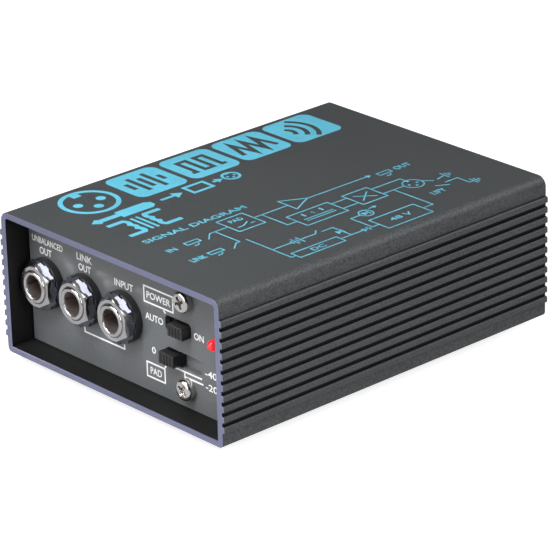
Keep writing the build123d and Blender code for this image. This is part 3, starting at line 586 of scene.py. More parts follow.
def carved(body, tool, operation="DIFFERENCE"):
    """One bmesh cut by another, or kept only where they meet."""
    blanks = []
    for shape in (body, tool):
        mesh = bpy.data.meshes.new("blank")
        shape.to_mesh(mesh)
        shape.free()
        blanks.append(bpy.data.objects.new("blank", mesh))
        bpy.context.scene.collection.objects.link(blanks[-1])
    cut = blanks[0].modifiers.new("cut", "BOOLEAN")
    cut.object = blanks[1]
    cut.operation = operation
    cut.solver = "EXACT"
    result = bmesh.new()
    result.from_object(blanks[0], bpy.context.evaluated_depsgraph_get())
    for blank in blanks:
        bpy.data.meshes.remove(blank.data)
    return result


def words(text, x0, y0, x1, y1, weight=0.012):
    """Plain capitals fitted into a rectangle, as a film of ink."""
    curve = bpy.data.curves.new("words", "FONT")
    curve.body = text
    curve.extrude = INK
    curve.offset = weight
    curve.resolution_u = 3
    holder = bpy.data.objects.new("words", curve)
    bpy.context.scene.collection.objects.link(holder)
    mesh = bpy.data.meshes.new_from_object(holder.evaluated_get(bpy.context.evaluated_depsgraph_get()))
    shape = bmesh.new()
    shape.from_mesh(mesh)
    bpy.data.meshes.remove(mesh)
    bpy.data.curves.remove(curve)
    bmesh.ops.remove_doubles(shape, verts=shape.verts, dist=0.0001)
    low = [min(v.co[i] for v in shape.verts) for i in range(3)]
    high = [max(v.co[i] for v in shape.verts) for i in range(3)]
    scale = ((x1 - x0) / (high[0] - low[0]), (y1 - y0) / (high[1] - low[1]), INK / (high[2] - low[2]))
    moved(shape, at(x0, y0) @ Matrix.Diagonal((*scale, 1.0)) @ at(-low[0], -low[1], -low[2]))
    return shape


def rounded_square(x0, y0, x1, y1, radius):
    """Outline of a rectangle with round corners."""
    return [*arc((x1 - radius, y0 + radius), radius, -90, 0, 5),
            *arc((x1 - radius, y1 - radius), radius, 0, 90, 5),
            *arc((x0 + radius, y1 - radius), radius, 90, 180, 5),
            *arc((x0 + radius, y0 + radius), radius, 180, 270, 5)]


TILE = 17.05
TILE_STEP = 18.75
TILE_HEIGHT = 16.6
TILE_ROUND = 2.6
TILES_START = (31.4, 22.6)
TILE_MARGIN = 2.5
WAVE_SWING = 4.2
WAVE_WIDTH = 1.5


def open_tile(lines):
    """A solid tile with some lines left open in it, given as points up and down from its middle."""
    plate = slab(rounded_square(0, 0, TILE, TILE_HEIGHT, TILE_ROUND), INK)
    cuts = [slab(band([(x, TILE_HEIGHT / 2 + y) for x, y in points], WAVE_WIDTH), 4 * INK)
            for points in lines]
    return carved(plate, moved(gathered(cuts), at(0, 0, -2 * INK)))


def sign_tiles():
    """Level bars, a pulse wave, a triangle wave and sound arcs, one tile each."""
    left, right = TILE_MARGIN, TILE - TILE_MARGIN
    span = right - left
    heights = (2.4, 5.2, 3.6, 5.6, 1.8)
    bars = [[(left + 0.7 + i * 2.66, -h), (left + 0.7 + i * 2.66, h)] for i, h in enumerate(heights)]
    pulse = [(left, -WAVE_SWING)]
    for i in range(4):
        x, level = left + (2 * i + 1) * span / 8, WAVE_SWING if i % 2 else -WAVE_SWING
        pulse += [(x, level), (x, -level)]
    pulse.append((right, -WAVE_SWING))
    triangle = [(left + i * span / 6, WAVE_SWING if i % 2 else -WAVE_SWING) for i in range(7)]
    arcs = [arc((left - 0.5, 0.0), radius, -48, 48, 12) for radius in (3.2, 6.4, 9.6)]
    return [moved(open_tile(lines), at(TILES_START[0] + i * TILE_STEP, TILES_START[1]))
            for i, lines in enumerate((bars, [pulse], [triangle], arcs))]


def pin_sign(x, y, radius, width, pin):
    """The sign of a three-pin connector: a ring with three pins and a key."""
    pins = [dot(x + 0.5 * radius * math.cos(math.radians(a)),
                y + 0.5 * radius * math.sin(math.radians(a)), pin)
            for a in (180, 0, 270)]
    key = slab(band([(x, y + radius - width / 2), (x, y + 0.62 * radius)], 2 * width), INK)
    return [ring(x, y, radius, width, 48), key, *pins]


def plug_sign(x, y, scale):
    """The sign of a plug: tip, shank and handle, lying along the artwork."""
    outline = [(0, -0.5), (3.2, -0.5), (3.2, -1.1), (8.5, -1.1), (9.3, -0.5), (9.3, 0.5), (8.5, 1.1),
               (3.2, 1.1), (3.2, 0.5), (0, 0.5), (-0.5, 0.9), (-1.6, 0), (-0.5, -0.9)]
    return slab([(x + scale * px, y + scale * py) for px, py in outline], INK)


def arrow(x0, x1, y, width, head):
    """A printed arrow along the artwork."""
    shaft = line([(x0, y), (x1 - head, y)], width)
    return [shaft, slab([(x1 - head, y - head * 0.7), (x1, y), (x1 - head, y + head * 0.7)], INK)]


def coil_sign(x, y, width):
    """The sign of a transformer: two windings of three half turns with a core of two bars."""
    shapes = []
    for side in (-1, 1):
        turns = []
        for i in range(3):
            centre = (x + side * 5.2, y + (i - 1) * 3.0)
            start = 225 if side > 0 else -45
            turns += arc(centre, 2.12, start, start - side * 90, 6)[i > 0:]
        shapes.append(line([(x + side * 8.8, y - 4.5), *turns, (x + side * 8.8, y + 4.5)], width))
        shapes.append(line([(x + side * 0.9, y - 4.6), (x + side * 0.9, y + 4.6)], 0.55 * width))
    return shapes


def socket_sign(x, y):
    """A jack in the diagram: its sleeve as a small bar and its spring as a bent line."""
    spring = [(x + 1.0, y - 2.3), (x + 2.4, y - 2.3), (x + 3.0, y - 1.5)]
    return [frame_line(x, y - 0.8, x + 4.4, y + 0.8), line(spring)]


def earth_sign(x, y):
    """The sign of earth: three shrinking bars."""
    return [line([(x + 0.9 * i, y - 1.8 + 0.6 * i), (x + 0.9 * i, y + 1.8 - 0.6 * i)]) for i in range(3)]


def diode_sign(x, y):
    """A diode that points along the artwork."""
    return [slab([(x - 1.1, y - 1.0), (x + 0.8, y), (x - 1.1, y + 1.0)], INK),
            line([(x + 0.9, y - 1.1), (x + 0.9, y + 1.1)])]


def battery_sign(x, y):
    """A battery: four plates across the line."""
    halves = enumerate((1.0, 1.9, 1.0, 1.9))
    return [line([(x + 0.9 * i, y - half), (x + 0.9 * i, y + half)]) for i, half in halves]


def signal_diagram():
    """The signal's way through the box, in thin lines. Its rows lie at falling heights below the middle."""
    top, second, third, fourth, low = -8.5, -15.9, -20.4, -28.0, -35.0
    input_traces = [[(25.0, -11.2), (27.6, top), (33.9, top)],
                    [(25.4, -20.4), (28.2, -18.0), (29.4, -18.0), (29.4, top)],
                    [(35.4, -10.6), (37.4, -10.6), (39.9, -9.2)],
                    [(39.9, -10.6), (41.4, -10.6)],
                    [(42.8, top), (54.75, top)]]
    amplifier = [[(54.75, -12.1), (54.75, -4.6), (61.8, -8.35), (54.75, -12.1)]]
    output_traces = [[(45.6, top), (45.6, -18.4), (48.9, -18.4)],
                     [(51.0, -20.0), (61.2, -20.0)],
                     [(51.0, -18.9), (61.2, -18.9)],
                     *[[(start, row), (end, row)] for row in (second, third)
                       for start, end in ((63.3, 68.9), (77.7, 85.7))],
                     [(70.8, -20.2), (75.8, -16.2)],
                     [(70.8, -16.2), (75.8, -20.2)],
                     [(85.7, second), (88.3, second), (88.3, -18.0)]]
    supply_traces = [[(31.6, -18.0), (31.6, low), (33.2, low)],
                     [(31.6, fourth), (38.4, fourth)],
                     [(41.1, fourth), (46.4, fourth), (48.0, -26.4)],
                     [(48.6, fourth), (52.4, fourth), (52.4, low)],
                     [(48.7, low), (62.2, low)],
                     [(59.8, low), (59.8, -27.0), (63.2, -27.0)],
                     [(78.0, low), (81.6, low), (81.6, -20.4)]]
    earth_traces = [[(91.2, -20.9), (93.6, -23.2)],
                    [(91.2, -26.2), (94.6, -28.2)],
                    [(94.9, -26.2), (99.4, -26.2), (99.4, -30.8), (101.0, -30.8)],
                    [(95.0, -23.2), (98.4, -22.4)]]
    blocks = [(33.9, -13.0, 42.8, -3.9), (48.9, -22.4, 63.3, -14.3), (68.9, -22.2, 77.7, -14.0),
              (33.2, -36.8, 48.7, -33.2), (62.2, -38.7, 78.0, -31.2)]
    names = [("PAD", 36.2, -7.4, 40.6, -5.6), ("1 : 1", 52.6, -17.4, 59.4, -15.6),
             ("DC", 38.6, -35.9, 43.2, -34.1), ("48 V", 66.4, -35.9, 73.8, -33.9),
             ("IN", 12.2, -11.0, 15.0, -8.8), ("LINK", 12.2, -20.0, 17.2, -17.8),
             ("OUT", 92.4, -10.6, 98.0, -8.4), ("LIFT", 86.6, -30.6, 91.4, -28.6),
             ("SIGNAL DIAGRAM", 11.8, -2.1, 46.4, 0.1)]
    shapes = [line(points) for points in (*input_traces, *amplifier, *output_traces, *supply_traces,
                                          *earth_traces)]
    shapes += [frame_line(*block) for block in blocks]
    shapes += [words(*name) for name in names]
    for x, y in ((18.6, -9.6), (18.6, -18.6), (86.4, -9.6)):
        shapes += socket_sign(x, y)
    for x, y in ((57.6, low), (51.8, -31.4), (65.2, -27.0)):
        shapes += diode_sign(x, y)
    for x, y in ((101.0, -30.8), (98.4, -22.4)):
        shapes += earth_sign(x, y)
    shapes += [*arrow(61.8, 84.6, top, THIN, 1.4), *arrow(67.8, 70.6, -25.2, THIN, 1.1)]
    shapes += [*battery_sign(38.4, fourth), ring(65.2, -27.0, 2.0)]
    return shapes + pin_sign(88.3, -20.9, 2.9, THIN, 0.42)


INK_BLUE = screen_ink("blue_ink", (0.12, 0.49, 0.63), (0.06, 0.16, 0.2))
artwork = [*sign_tiles(), *pin_sign(20.1, 30.6, 7.7, 1.35, 1.35), *signal_diagram(),
           plug_sign(13.6, 18.1, 1.9), *arrow(34.0, 41.5, 18.1, 1.0, 2.9),
           frame_line(43.8, 15.8, 50.4, 20.4, 1.0), *arrow(52.2, 55.6, 18.1, 1.0, 2.2),
           *pin_sign(58.6, 18.1, 2.4, 0.8, 0.45), *coil_sign(21.0, 9.3, 1.5)]
artwork_place = at(0.0, sleeve_low.y, sleeve_high.z - INK / 3) @ Matrix.Rotation(math.pi / 2, 4, "Z")
add_piece("top_printing", moved(gathered(artwork), artwork_place), "box", "sleeve_black", INK_BLUE)


# Front panel
# A flat aluminium plate behind the mouth, in satin grey paint with white screen printing.
def satin_paint(name, low, high, rough):
    """Satin paint with a faint orange peel and slow drift in tone."""
    finish = blank_finish(name, Specular_IOR_Level=0.5)
    fine = use_group(finish, GRAIN, Grain_mm=0.5, Drift_mm=26.0)
    edge = use_group(finish, EDGES, Width_mm=0.12, Amount=0.7)["Edge"]
    ground = blended(finish, fine["Drift"], low, high)
    speckled = blended(finish, fine["Grain"], ground, tuple(1.12 * part for part in high))
    paint(finish, blended(finish, edge, speckled, (0.42, 0.43, 0.45)))
    sweep(finish, fine["Drift"], "Roughness", rough, rough + 0.1)
    relief(finish, fine["Grain"], 0.01, 0.5)
    return finish


PANEL_PAINT = satin_paint("panel_paint", (0.078, 0.084, 0.089), (0.098, 0.104, 0.109), 0.38)
INK_WHITE = screen_ink("white_ink", (0.82, 0.83, 0.82), (0.5, 0.5, 0.5))
LEGEND = 0.45

panel_low = corners("front_panel")[0]
jack_boxes = [corners(f"{name}_jack_bush") for name in ("output", "link", "input")]
jack_xs = [middle(*box).x for box in jack_boxes]
jack_z = middle(*jack_boxes[0]).z
front_face = at(0, panel_low.y) @ Matrix.Rotation(math.pi / 2, 4, "X")


def centred(text, x, z, width, height):
    """Capitals centred on a place."""
    return words(text, x - width / 2, z - height / 2, x + width / 2, z + height / 2)


def panel_legends():
    """Names over the jacks, the switch legends in their boxes, and the lines between them."""
    over, under = jack_z + 11.3, jack_z + 8.5
    output, link, entry = jack_xs
    jack_names = [("UNBALANCED", output + 0.5, over, 12.6, 1.8), ("OUT", output - 0.4, under, 5.0, 2.0),
                  ("LINK", link, over, 6.2, 1.9), ("OUT", link, under, 5.0, 2.0),
                  ("INPUT", entry, under, 7.4, 2.0)]
    switch_names = [("POWER", 6.4, 30.8, 15.6, 32.7), ("AUTO", 5.6, 24.8, 12.5, 26.7),
                    ("ON", 24.4, 24.8, 28.1, 26.7), ("0", 7.7, 15.8, 9.2, 17.7),
                    ("-40", 28.2, 15.8, 32.7, 17.7), ("-20", 28.3, 12.1, 32.8, 14.0),
                    ("PAD", 6.8, 9.8, 11.2, 11.7)]
    boxes = [(5.4, 29.6, 16.6, 33.9), (5.5, 8.8, 12.5, 12.8)]
    marks = [[(link - 1.1, 15.8), (link - 1.1, 13.4), (entry - 0.7, 13.4), (entry - 0.7, 15.8)],
             [(12.9, 29.2), (13.6, 28.5)],
             [(10.2, 16.7), (11.2, 16.7)],
             [(16.5, 14.5), (26.9, 14.5)],
             [(20.3, 14.2), (20.3, 13.1), (27.4, 13.1)],
             [(12.5, 13.1), (13.1, 13.8)]]
    return [*(centred(*name) for name in jack_names), *(words(*name) for name in switch_names),
            *(frame_line(*box, LEGEND) for box in boxes), *(line(points, LEGEND) for points in marks)]


panel_print = moved(gathered(panel_legends()), at(0, INK / 3) @ front_face)
add_piece("panel_printing", panel_print, "box", "panel_grey", INK_WHITE)


# Jacks
# Each jack's plated bush comes through the panel and is held by a black insulating ring, a toothed
# washer and a hexagon nut. A leaf of the earth spring lies along the bore's left side.
def bright_plate(name, low, high, rough, size=0.4):
    """Bright plate with slow changes in tone and polish, fine marks and rubbed edges."""
    finish = blank_finish(name, Metallic=1.0)
    fine = use_group(finish, GRAIN, Grain_mm=size, Drift_mm=5.0)
    edge = use_group(finish, EDGES, Width_mm=0.08, Amount=0.12)["Edge"]
    tone = blended(finish, fine["Drift"], low, high)
    paint(finish, blended(finish, edge, tone, tuple(min(1.0, 1.4 * part) for part in high)))
    sweep(finish, fine["Drift"], "Roughness", rough, rough + 0.1)
    relief(finish, fine["Grain"], 0.0012, 0.1)
    return finish


def moulded(name, low, high, rough, grain=0.25, gloss=0.5):
    """Moulded plastic or rubber with a fine tooled texture."""
    finish = blank_finish(name, Specular_IOR_Level=gloss)
    fine = use_group(finish, GRAIN, Grain_mm=grain, Drift_mm=7.0)
    edge = use_group(finish, EDGES, Width_mm=0.12, Amount=0.35)["Edge"]
    tone = blended(finish, fine["Drift"], low, high)
    paint(finish, blended(finish, edge, tone, tuple(2.2 * part + 0.004 for part in high)))
    sweep(finish, fine["Grain"], "Roughness", rough, rough + 0.14)
    relief(finish, fine["Grain"], 0.012, 0.45)
    return finish


NICKEL = bright_plate("nickel_plate", (0.44, 0.43, 0.42), (0.55, 0.55, 0.56), 0.11)
WASHER_STEEL = bright_plate("washer_steel", (0.07, 0.075, 0.09), (0.12, 0.125, 0.15), 0.22)
BORE_METAL = bright_plate("bore_metal", (0.34, 0.28, 0.25), (0.44, 0.38, 0.35), 0.42)
CONTACT = bright_plate("contact_metal", (0.55, 0.51, 0.44), (0.66, 0.62, 0.54), 0.2)
BLACK_MOULDING = moulded("black_moulding", (0.012, 0.012, 0.013), (0.02, 0.02, 0.021), 0.34)

RING_OUT = 7.0
RING_THICK = 2.3
RING_HOLE = 4.55
WASHER_THICK = 0.5
WASHER_RIM = 6.6
WASHER_TIP = 7.1
WASHER_TEETH = 12
NUT_FLATS = 11.0
NUT_THICK = 1.8
BORE = 3.2
BUSH = 4.45
LIP = 0.5
COLLAR_FROM_TAIL = 3.4
COLLAR_THICK = 1.5
LEAF_THICK = 0.18
LEAF_WIDE = 0.5


def at_jacks(build):
    """The same part at all three jacks, its Z pointing out of the panel."""
    return gathered([moved(build(), at(x, 0, jack_z) @ front_face) for x in jack_xs])


def insulating_ring():
    """Black ring with a rounded front edge."""
    edge = arc((RING_OUT - 0.35, RING_THICK - 0.35), 0.35, 0, 90, 4)
    return turned([(RING_HOLE, 0), (RING_OUT, 0), *edge, (RING_HOLE, RING_THICK)], 56, True)


def toothed_washer():
    """Thin washer with twelve outside teeth."""
    outline = []
    for i in range(WASHER_TEETH):
        tooth = ((-0.30, WASHER_RIM), (-0.20, WASHER_TIP), (0.20, WASHER_TIP), (0.30, WASHER_RIM))
        for share, radius in tooth:
            turn = 2 * math.pi * (i + share) / WASHER_TEETH
            outline.append((radius * math.cos(turn), radius * math.sin(turn)))
    washer = carved(slab(outline, WASHER_THICK), rod(RING_HOLE, -1, 1, 48))
    return moved(washer, at(0, 0, RING_THICK))


def hexagon_nut():
    """Thin nut with corners top and bottom, its front chamfered by a lathe cut."""
    corner = NUT_FLATS / 2 / math.cos(math.pi / 6)
    prism = slab(arc((0, 0), corner, 30, 330, 5), NUT_THICK)
    crown = [(0, -0.1), (corner - 0.1, -0.1), (corner - 0.1, NUT_THICK - 0.5),
             (NUT_FLATS / 2 + 0.1, NUT_THICK), (0, NUT_THICK)]
    nut = carved(prism, turned(crown, 64), "INTERSECT")
    hole = turned([(0, -1), (BUSH, -1), (BUSH, NUT_THICK - 0.25), (BUSH + 0.3, NUT_THICK + 0.05),
                   (0, NUT_THICK + 0.05)], 48)
    return moved(carved(nut, hole), at(0, 0, RING_THICK + WASHER_THICK))


def jack_bush():
    """Bush with a rounded lip in front, a collar behind the panel and an open bore."""
    tip = panel_low.y - jack_boxes[0][0].y
    tail = panel_low.y - jack_boxes[0][1].y
    collar = (jack_boxes[0][1].x - jack_boxes[0][0].x) / 2
    collar_back = tail + COLLAR_FROM_TAIL
    collar_front = collar_back + COLLAR_THICK
    lip = [*arc((BUSH - LIP, tip - LIP), LIP, 0, 90, 5), *arc((BORE + 0.4, tip - 0.4), 0.4, 90, 180, 5)]
    shape = turned([(BORE, tail), (BUSH, tail), (BUSH, collar_back), (collar, collar_back),
                    (collar, collar_front), (BUSH, collar_front), *lip], 56, True)
    for face in shape.faces:
        face.material_index = int(all(math.hypot(v.co.x, v.co.y) < BORE + 0.01 for v in face.verts))
    return shape


def earth_leaf():
    """A narrow sprung strip along the bore's left side."""
    side = [(-BORE + 0.1, 4.5), (-BORE + 0.35, 2.0), (-BORE + 0.42, -2.5), (-BORE + 0.1, -6.0)]
    strip = moved(slab(band(side, LEAF_THICK), LEAF_WIDE), at(0, 0, -LEAF_WIDE / 2))
    return moved(strip, Matrix.Rotation(math.pi / 2, 4, "X"))


add_piece("jack_rings", at_jacks(insulating_ring), "box", "black_plastic", BLACK_MOULDING,
          stands_for=["jack_insulating_rings"], soften=0.06)
add_piece("toothed_washers", at_jacks(toothed_washer), "box", "nickel_plate", WASHER_STEEL,
          stands_for=["jack_lock_washers"], sharp=25, soften=0.05)
add_piece("hexagon_nuts", at_jacks(hexagon_nut), "box", "nickel_plate", NICKEL,
          stands_for=["jack_nuts"], sharp=20, soften=0.07)
add_piece("jack_bushes", at_jacks(jack_bush), "box", "nickel_plate", NICKEL, BORE_METAL,
          stands_for=["output_jack_bush", "link_jack_bush", "input_jack_bush"])
add_piece("jack_earth_leaves", at_jacks(earth_leaf), "box", "contact_metal", NICKEL)


# Front screws
# Two nickel-plated pan-head screws hold the panel and the switch board's pillars behind it.
SCREW_STEEL = bright_plate("screw_steel", (0.55, 0.52, 0.49), (0.70, 0.68, 0.66), 0.16, 0.3)
HEAD = 2.95
HEAD_HEIGHT = 2.2
THREAD = 1.5


def cross_screw(radius, height, thread, length, turn):
    """Pan-head screw along Z with its head standing on zero and a cross recess in it."""
    crown = 0.42 * height
    profile = [(0, height), *arc((radius - crown, height - crown), crown, 90, 0, 6), (radius, 0),
               (thread, 0), (thread, -length), (0, -length)]
    reach, width, depth = 0.6 * radius, 0.15 * radius, 0.62 * height
    arm = slab([(-reach, height + 0.1), (-0.55 * reach, height - depth), (0.55 * reach, height - depth),
                (reach, height + 0.1)], 2 * width)
    arm = moved(arm, Matrix.Rotation(math.pi / 2, 4, "X") @ at(0, 0, -width))
    other = arm.copy()
    moved(other, Matrix.Rotation(math.pi / 2, 4, "Z"))
    cross = carved(arm, other, "UNION")
    flare = turned([(0, height - depth), (0.36 * radius, height + 0.1), (0, height + 0.1)], 20)
    cross = moved(carved(cross, flare, "UNION"), Matrix.Rotation(math.radians(45 + turn), 4, "Z"))
    return carved(turned(profile, 40), cross)


screw_low, screw_high = corners("front_screws")
screw_x = middle(screw_low, screw_high).x
screw_length = screw_high.y - panel_low.y
front_screws = [moved(cross_screw(HEAD, HEAD_HEIGHT, THREAD, screw_length, turn),
                      at(screw_x, 0, z) @ front_face)
                for z, turn in ((screw_low.z + HEAD, 12), (screw_high.z - HEAD, -20))]
add_piece("panel_screws", gathered(front_screws), "box", "screw_steel", SCREW_STEEL,
          stands_for=["front_screws"], soften=0.05)


# Slide-switch knobs
# Black moulded finger pieces with a grooved face, each on a stem that carries the contact carriage.
KNOB_PLASTIC = moulded("knob_plastic", (0.003, 0.003, 0.003), (0.006, 0.006, 0.006), 0.26, 0.22)
KNOB_WIDE = 5.7
KNOB_TALL = 3.3
KNOB_OUT = 2.9
KNOB_IN = 1.8
KNOB_GROOVES = 4
GROOVE = 0.34
STEM = (2.4, 2.2)
CARRIAGE = (5.0, 3.6)
CARRIAGE_AT = (5.5, 7.1)


def bar(x0, x1, y0, y1, z0, z1):
    """A rectangular bar between limits."""
    shape = bmesh.new()
    size = Matrix.Diagonal((x1 - x0, y1 - y0, z1 - z0, 1.0))
    bmesh.ops.create_cube(shape, size=1.0, matrix=at((x0 + x1) / 2, (y0 + y1) / 2, (z0 + z1) / 2) @ size)
    return shape


def slide_knob():
    """Knob along X, its face towards -Y and its carriage towards +Y."""
    face = [(-KNOB_WIDE / 2, KNOB_IN), (-KNOB_WIDE / 2, -KNOB_OUT)]
    for i in range(KNOB_GROOVES):
        x = (i - (KNOB_GROOVES - 1) / 2) * KNOB_WIDE / (KNOB_GROOVES + 1)
        face += [(x - GROOVE, -KNOB_OUT), (x, GROOVE - KNOB_OUT), (x + GROOVE, -KNOB_OUT)]
    face += [(KNOB_WIDE / 2, -KNOB_OUT), (KNOB_WIDE / 2, KNOB_IN)]
    cap = moved(slab(face, KNOB_TALL), at(0, 0, -KNOB_TALL / 2))
    stem = bar(-STEM[0] / 2, STEM[0] / 2, KNOB_IN - 0.1, CARRIAGE_AT[0] + 0.1, -STEM[1] / 2, STEM[1] / 2)
    carriage = bar(-CARRIAGE[0] / 2, CARRIAGE[0] / 2, *CARRIAGE_AT, -CARRIAGE[1] / 2, CARRIAGE[1] / 2)
    return carved(carved(cap, stem, "UNION"), carriage, "UNION")


for switch, body, turn in (("power", "power_slider", 0.0), ("pad", "pad_slider", 0.0),
                           ("ground_lift", "lift_slider", math.pi)):
    low, high = corners(f"{switch}_knob")
    outer = low.y + KNOB_OUT if turn == 0.0 else high.y - KNOB_OUT
    centre = middle(low, high)
    place = at(centre.x, outer, centre.z) @ Matrix.Rotation(turn, 4, "Z") @ Matrix.Rotation(turn / 2, 4, "Y")
    add_piece(f"{switch}_finger_piece", moved(slide_knob(), place), body, "knob_black",
              KNOB_PLASTIC, stands_for=[f"{switch}_knob"], soften=0.14)


# Lamp
# A round-nosed red lamp, three millimetres across, on a black spacer behind the panel.
def tinted_epoxy():
    """Red epoxy, clear enough for light to enter, with a lit core."""
    finish = blank_finish("tinted_epoxy", Roughness=0.12, Transmission_Weight=0.35, Coat_Weight=0.4,
                          Emission_Strength=0.35, IOR=1.5, Emission_Color=(0.9, 0.02, 0.03, 1.0))
    fine = use_group(finish, GRAIN, Grain_mm=0.6, Drift_mm=1.6)
    paint(finish, blended(finish, fine["Drift"], (0.62, 0.008, 0.014), (0.85, 0.02, 0.03)))
    return finish


LAMP_EPOXY = tinted_epoxy()
lamp_low, lamp_high = corners("led_lens")
LAMP_NOSE = 1.5
LAMP_FLANGE = (lamp_high.x - lamp_low.x) / 2
LAMP_FLANGE_THICK = 1.0
nose_tip = panel_low.y - lamp_low.y
flange_back = panel_low.y - lamp_high.y
flange_front = flange_back + LAMP_FLANGE_THICK
lamp = turned([(0, flange_back), (LAMP_FLANGE, flange_back), (LAMP_FLANGE, flange_front),
               (LAMP_NOSE, flange_front), *arc((0, nose_tip - LAMP_NOSE), LAMP_NOSE, 0, 90, 10)], 40)
lamp_centre = middle(lamp_low, lamp_high)
lamp_place = at(lamp_centre.x, 0, lamp_centre.z) @ front_face
add_piece("red_lamp", moved(lamp, lamp_place), "box", "lamp_red", LAMP_EPOXY, stands_for=["led_lens"])


# Feet
# Four black rubber feet, each held by a screw in its counterbore.
RUBBER = moulded("foot_rubber", (0.018, 0.018, 0.018), (0.032, 0.032, 0.031), 0.66, 0.5, 0.3)
FOOT = 5.0
FOOT_BORE = 3.1
FOOT_FLOOR = 0.8
SCREW_HOLE = 1.7
SMALL_HEAD = 2.75
SMALL_HEAD_HEIGHT = 1.9
feet_low, feet_high = corners("rubber_feet")
foot_places = [(x, y) for x in (feet_low.x + FOOT, feet_high.x - FOOT)
               for y in (feet_low.y + FOOT, feet_high.y - FOOT)]


def rubber_foot():
    """Foot with rounded lower edges and a counterbore for its screw."""
    top, seat = feet_high.z, feet_high.z - FOOT_FLOOR
    return turned([(FOOT_BORE, seat), (SCREW_HOLE, seat), (SCREW_HOLE, top), (FOOT, top),
                   *arc((FOOT - 0.6, 0.6), 0.6, 0, -90, 5),
                   *arc((FOOT_BORE + 0.25, 0.25), 0.25, 270, 180, 3)], 48, True)


add_piece("feet", gathered([moved(rubber_foot(), at(x, y)) for x, y in foot_places]), "box",
          "rubber_black", RUBBER, stands_for=["rubber_feet"])
seat_height = feet_high.z - FOOT_FLOOR
foot_screw_length = corners("foot_screws")[1].z - seat_height
foot_screws = [moved(cross_screw(SMALL_HEAD, SMALL_HEAD_HEIGHT, THREAD, foot_screw_length, 25 * i),
                     at(x, y, seat_height) @ Matrix.Rotation(math.pi, 4, "X"))
               for i, (x, y) in enumerate(foot_places)]
add_piece("feet_screws", gathered(foot_screws), "box", "screw_steel", SCREW_STEEL, stands_for=["foot_screws"])


# Rear wall
# The chassis is one folded steel sheet in the panel's paint; its rear wall carries the connector,
# the ground-lift switch and the battery drawer.
def smooth_copy(name, node, body, slot, finish):
    """A CAD node's shape with its triangles merged and its curved faces shaded smoothly."""
    shape = bmesh.new()
    shape.from_mesh(frame["nodes"][node].data)
    bmesh.ops.scale(shape, vec=(1 / MM,) * 3, verts=shape.verts)
    bmesh.ops.remove_doubles(shape, verts=shape.verts, dist=0.002)
    return add_piece(name, shape, body, slot, finish, stands_for=[node], sharp=30.0)


even_shading(smooth_copy("folded_chassis", "chassis", "box", "zinc_steel", PANEL_PAINT))
chassis_high = corners("chassis")[1]
rear_face = at(0, chassis_high.y) @ Matrix.Rotation(math.pi, 4, "Z") @ Matrix.Rotation(math.pi / 2, 4, "X")
lift_x = middle(*corners("ground_lift_knob")).x
rear_signs = [words("LIFT", -lift_x - 2.1, 28.9, -lift_x + 2.1, 30.2),
              *[moved(shape, at(-lift_x, 15.6) @ Matrix.Rotation(-math.pi / 2, 4, "Z"))
                for shape in earth_sign(0, 0)]]
rear_print = moved(gathered(rear_signs), at(0, -INK / 3) @ rear_face)
add_piece("rear_printing", rear_print, "box", "zinc_steel", INK_WHITE)


# Output connector
# A die-cast, nickel-plated three-pin connector, screwed to the rear wall with two screws and nuts.
CASTING = bright_plate("connector_casting", (0.36, 0.36, 0.37), (0.46, 0.46, 0.47), 0.28, 0.6)
shell_low, shell_high = corners("xlr_shell")
shell_centre = middle(shell_low, shell_high)
shell_place = at(shell_centre.x, 0, shell_centre.z) @ rear_face
FLANGE_THICK = 2.0
FLANGE_ROUND = 2.5
CUP = 8.2
CUP_FLOOR = -13.0
CUP_RIM = 9.8
BARREL = 11.8
KEY_WAY = 3.2
KEY_WAY_FLOOR = -8.0
CONNECTOR_SCREW_LONG = 7.0
PIN = 1.2
PIN_CIRCLE = 5.3
pin_places = [(PIN_CIRCLE * math.cos(math.radians(a)), PIN_CIRCLE * math.sin(math.radians(a)))
              for a in (150, 30, 270)]


def connector_shell():
    """Flange, raised rim, cup with its key way, and the barrel behind the wall."""
    half_wide, half_tall = (shell_high.x - shell_low.x) / 2, (shell_high.z - shell_low.z) / 2
    back = -(chassis_high.y - shell_low.y)
    rim = shell_high.y - chassis_high.y
    flange = slab(rounded_square(-half_wide, -half_tall, half_wide, half_tall, FLANGE_ROUND), FLANGE_THICK)
    cup = turned([(0, back), (BARREL, back), (BARREL, 0.2), (CUP_RIM, 0.2),
                  *arc((CUP_RIM - 0.35, rim - 0.35), 0.35, 0, 90, 4), (0, rim)], 64)
    whole = carved(flange, cup, "UNION")
    hollow = turned([(0, CUP_FLOOR), (CUP, CUP_FLOOR), (CUP, rim - 0.3), (CUP + 0.35, rim + 0.05),
                     (0, rim + 0.05)], 64)
    whole = carved(whole, hollow)
    whole = carved(whole, rod(CUP - 1, back - 1, 0, 48))
    whole = carved(whole, bar(-KEY_WAY / 2, KEY_WAY / 2, 6.0, CUP + 0.8, KEY_WAY_FLOOR, rim + 1.0))
    for dx, dz in screw_places:
        whole = carved(whole, moved(rod(SCREW_HOLE, -1, 3, 24), at(dx, dz)))
    return whole


xlr_screw_low, xlr_screw_high = corners("xlr_screws")
screw_dx = (xlr_screw_high.x - xlr_screw_low.x) / 2 - SMALL_HEAD
screw_dz = (xlr_screw_high.z - xlr_screw_low.z) / 2 - SMALL_HEAD
screw_places = [(-screw_dx, screw_dz), (screw_dx, -screw_dz)]
add_piece("connector_casting", moved(connector_shell(), shell_place), "box", "connector_shell",
          CASTING, stands_for=["xlr_shell"], soften=0.15)

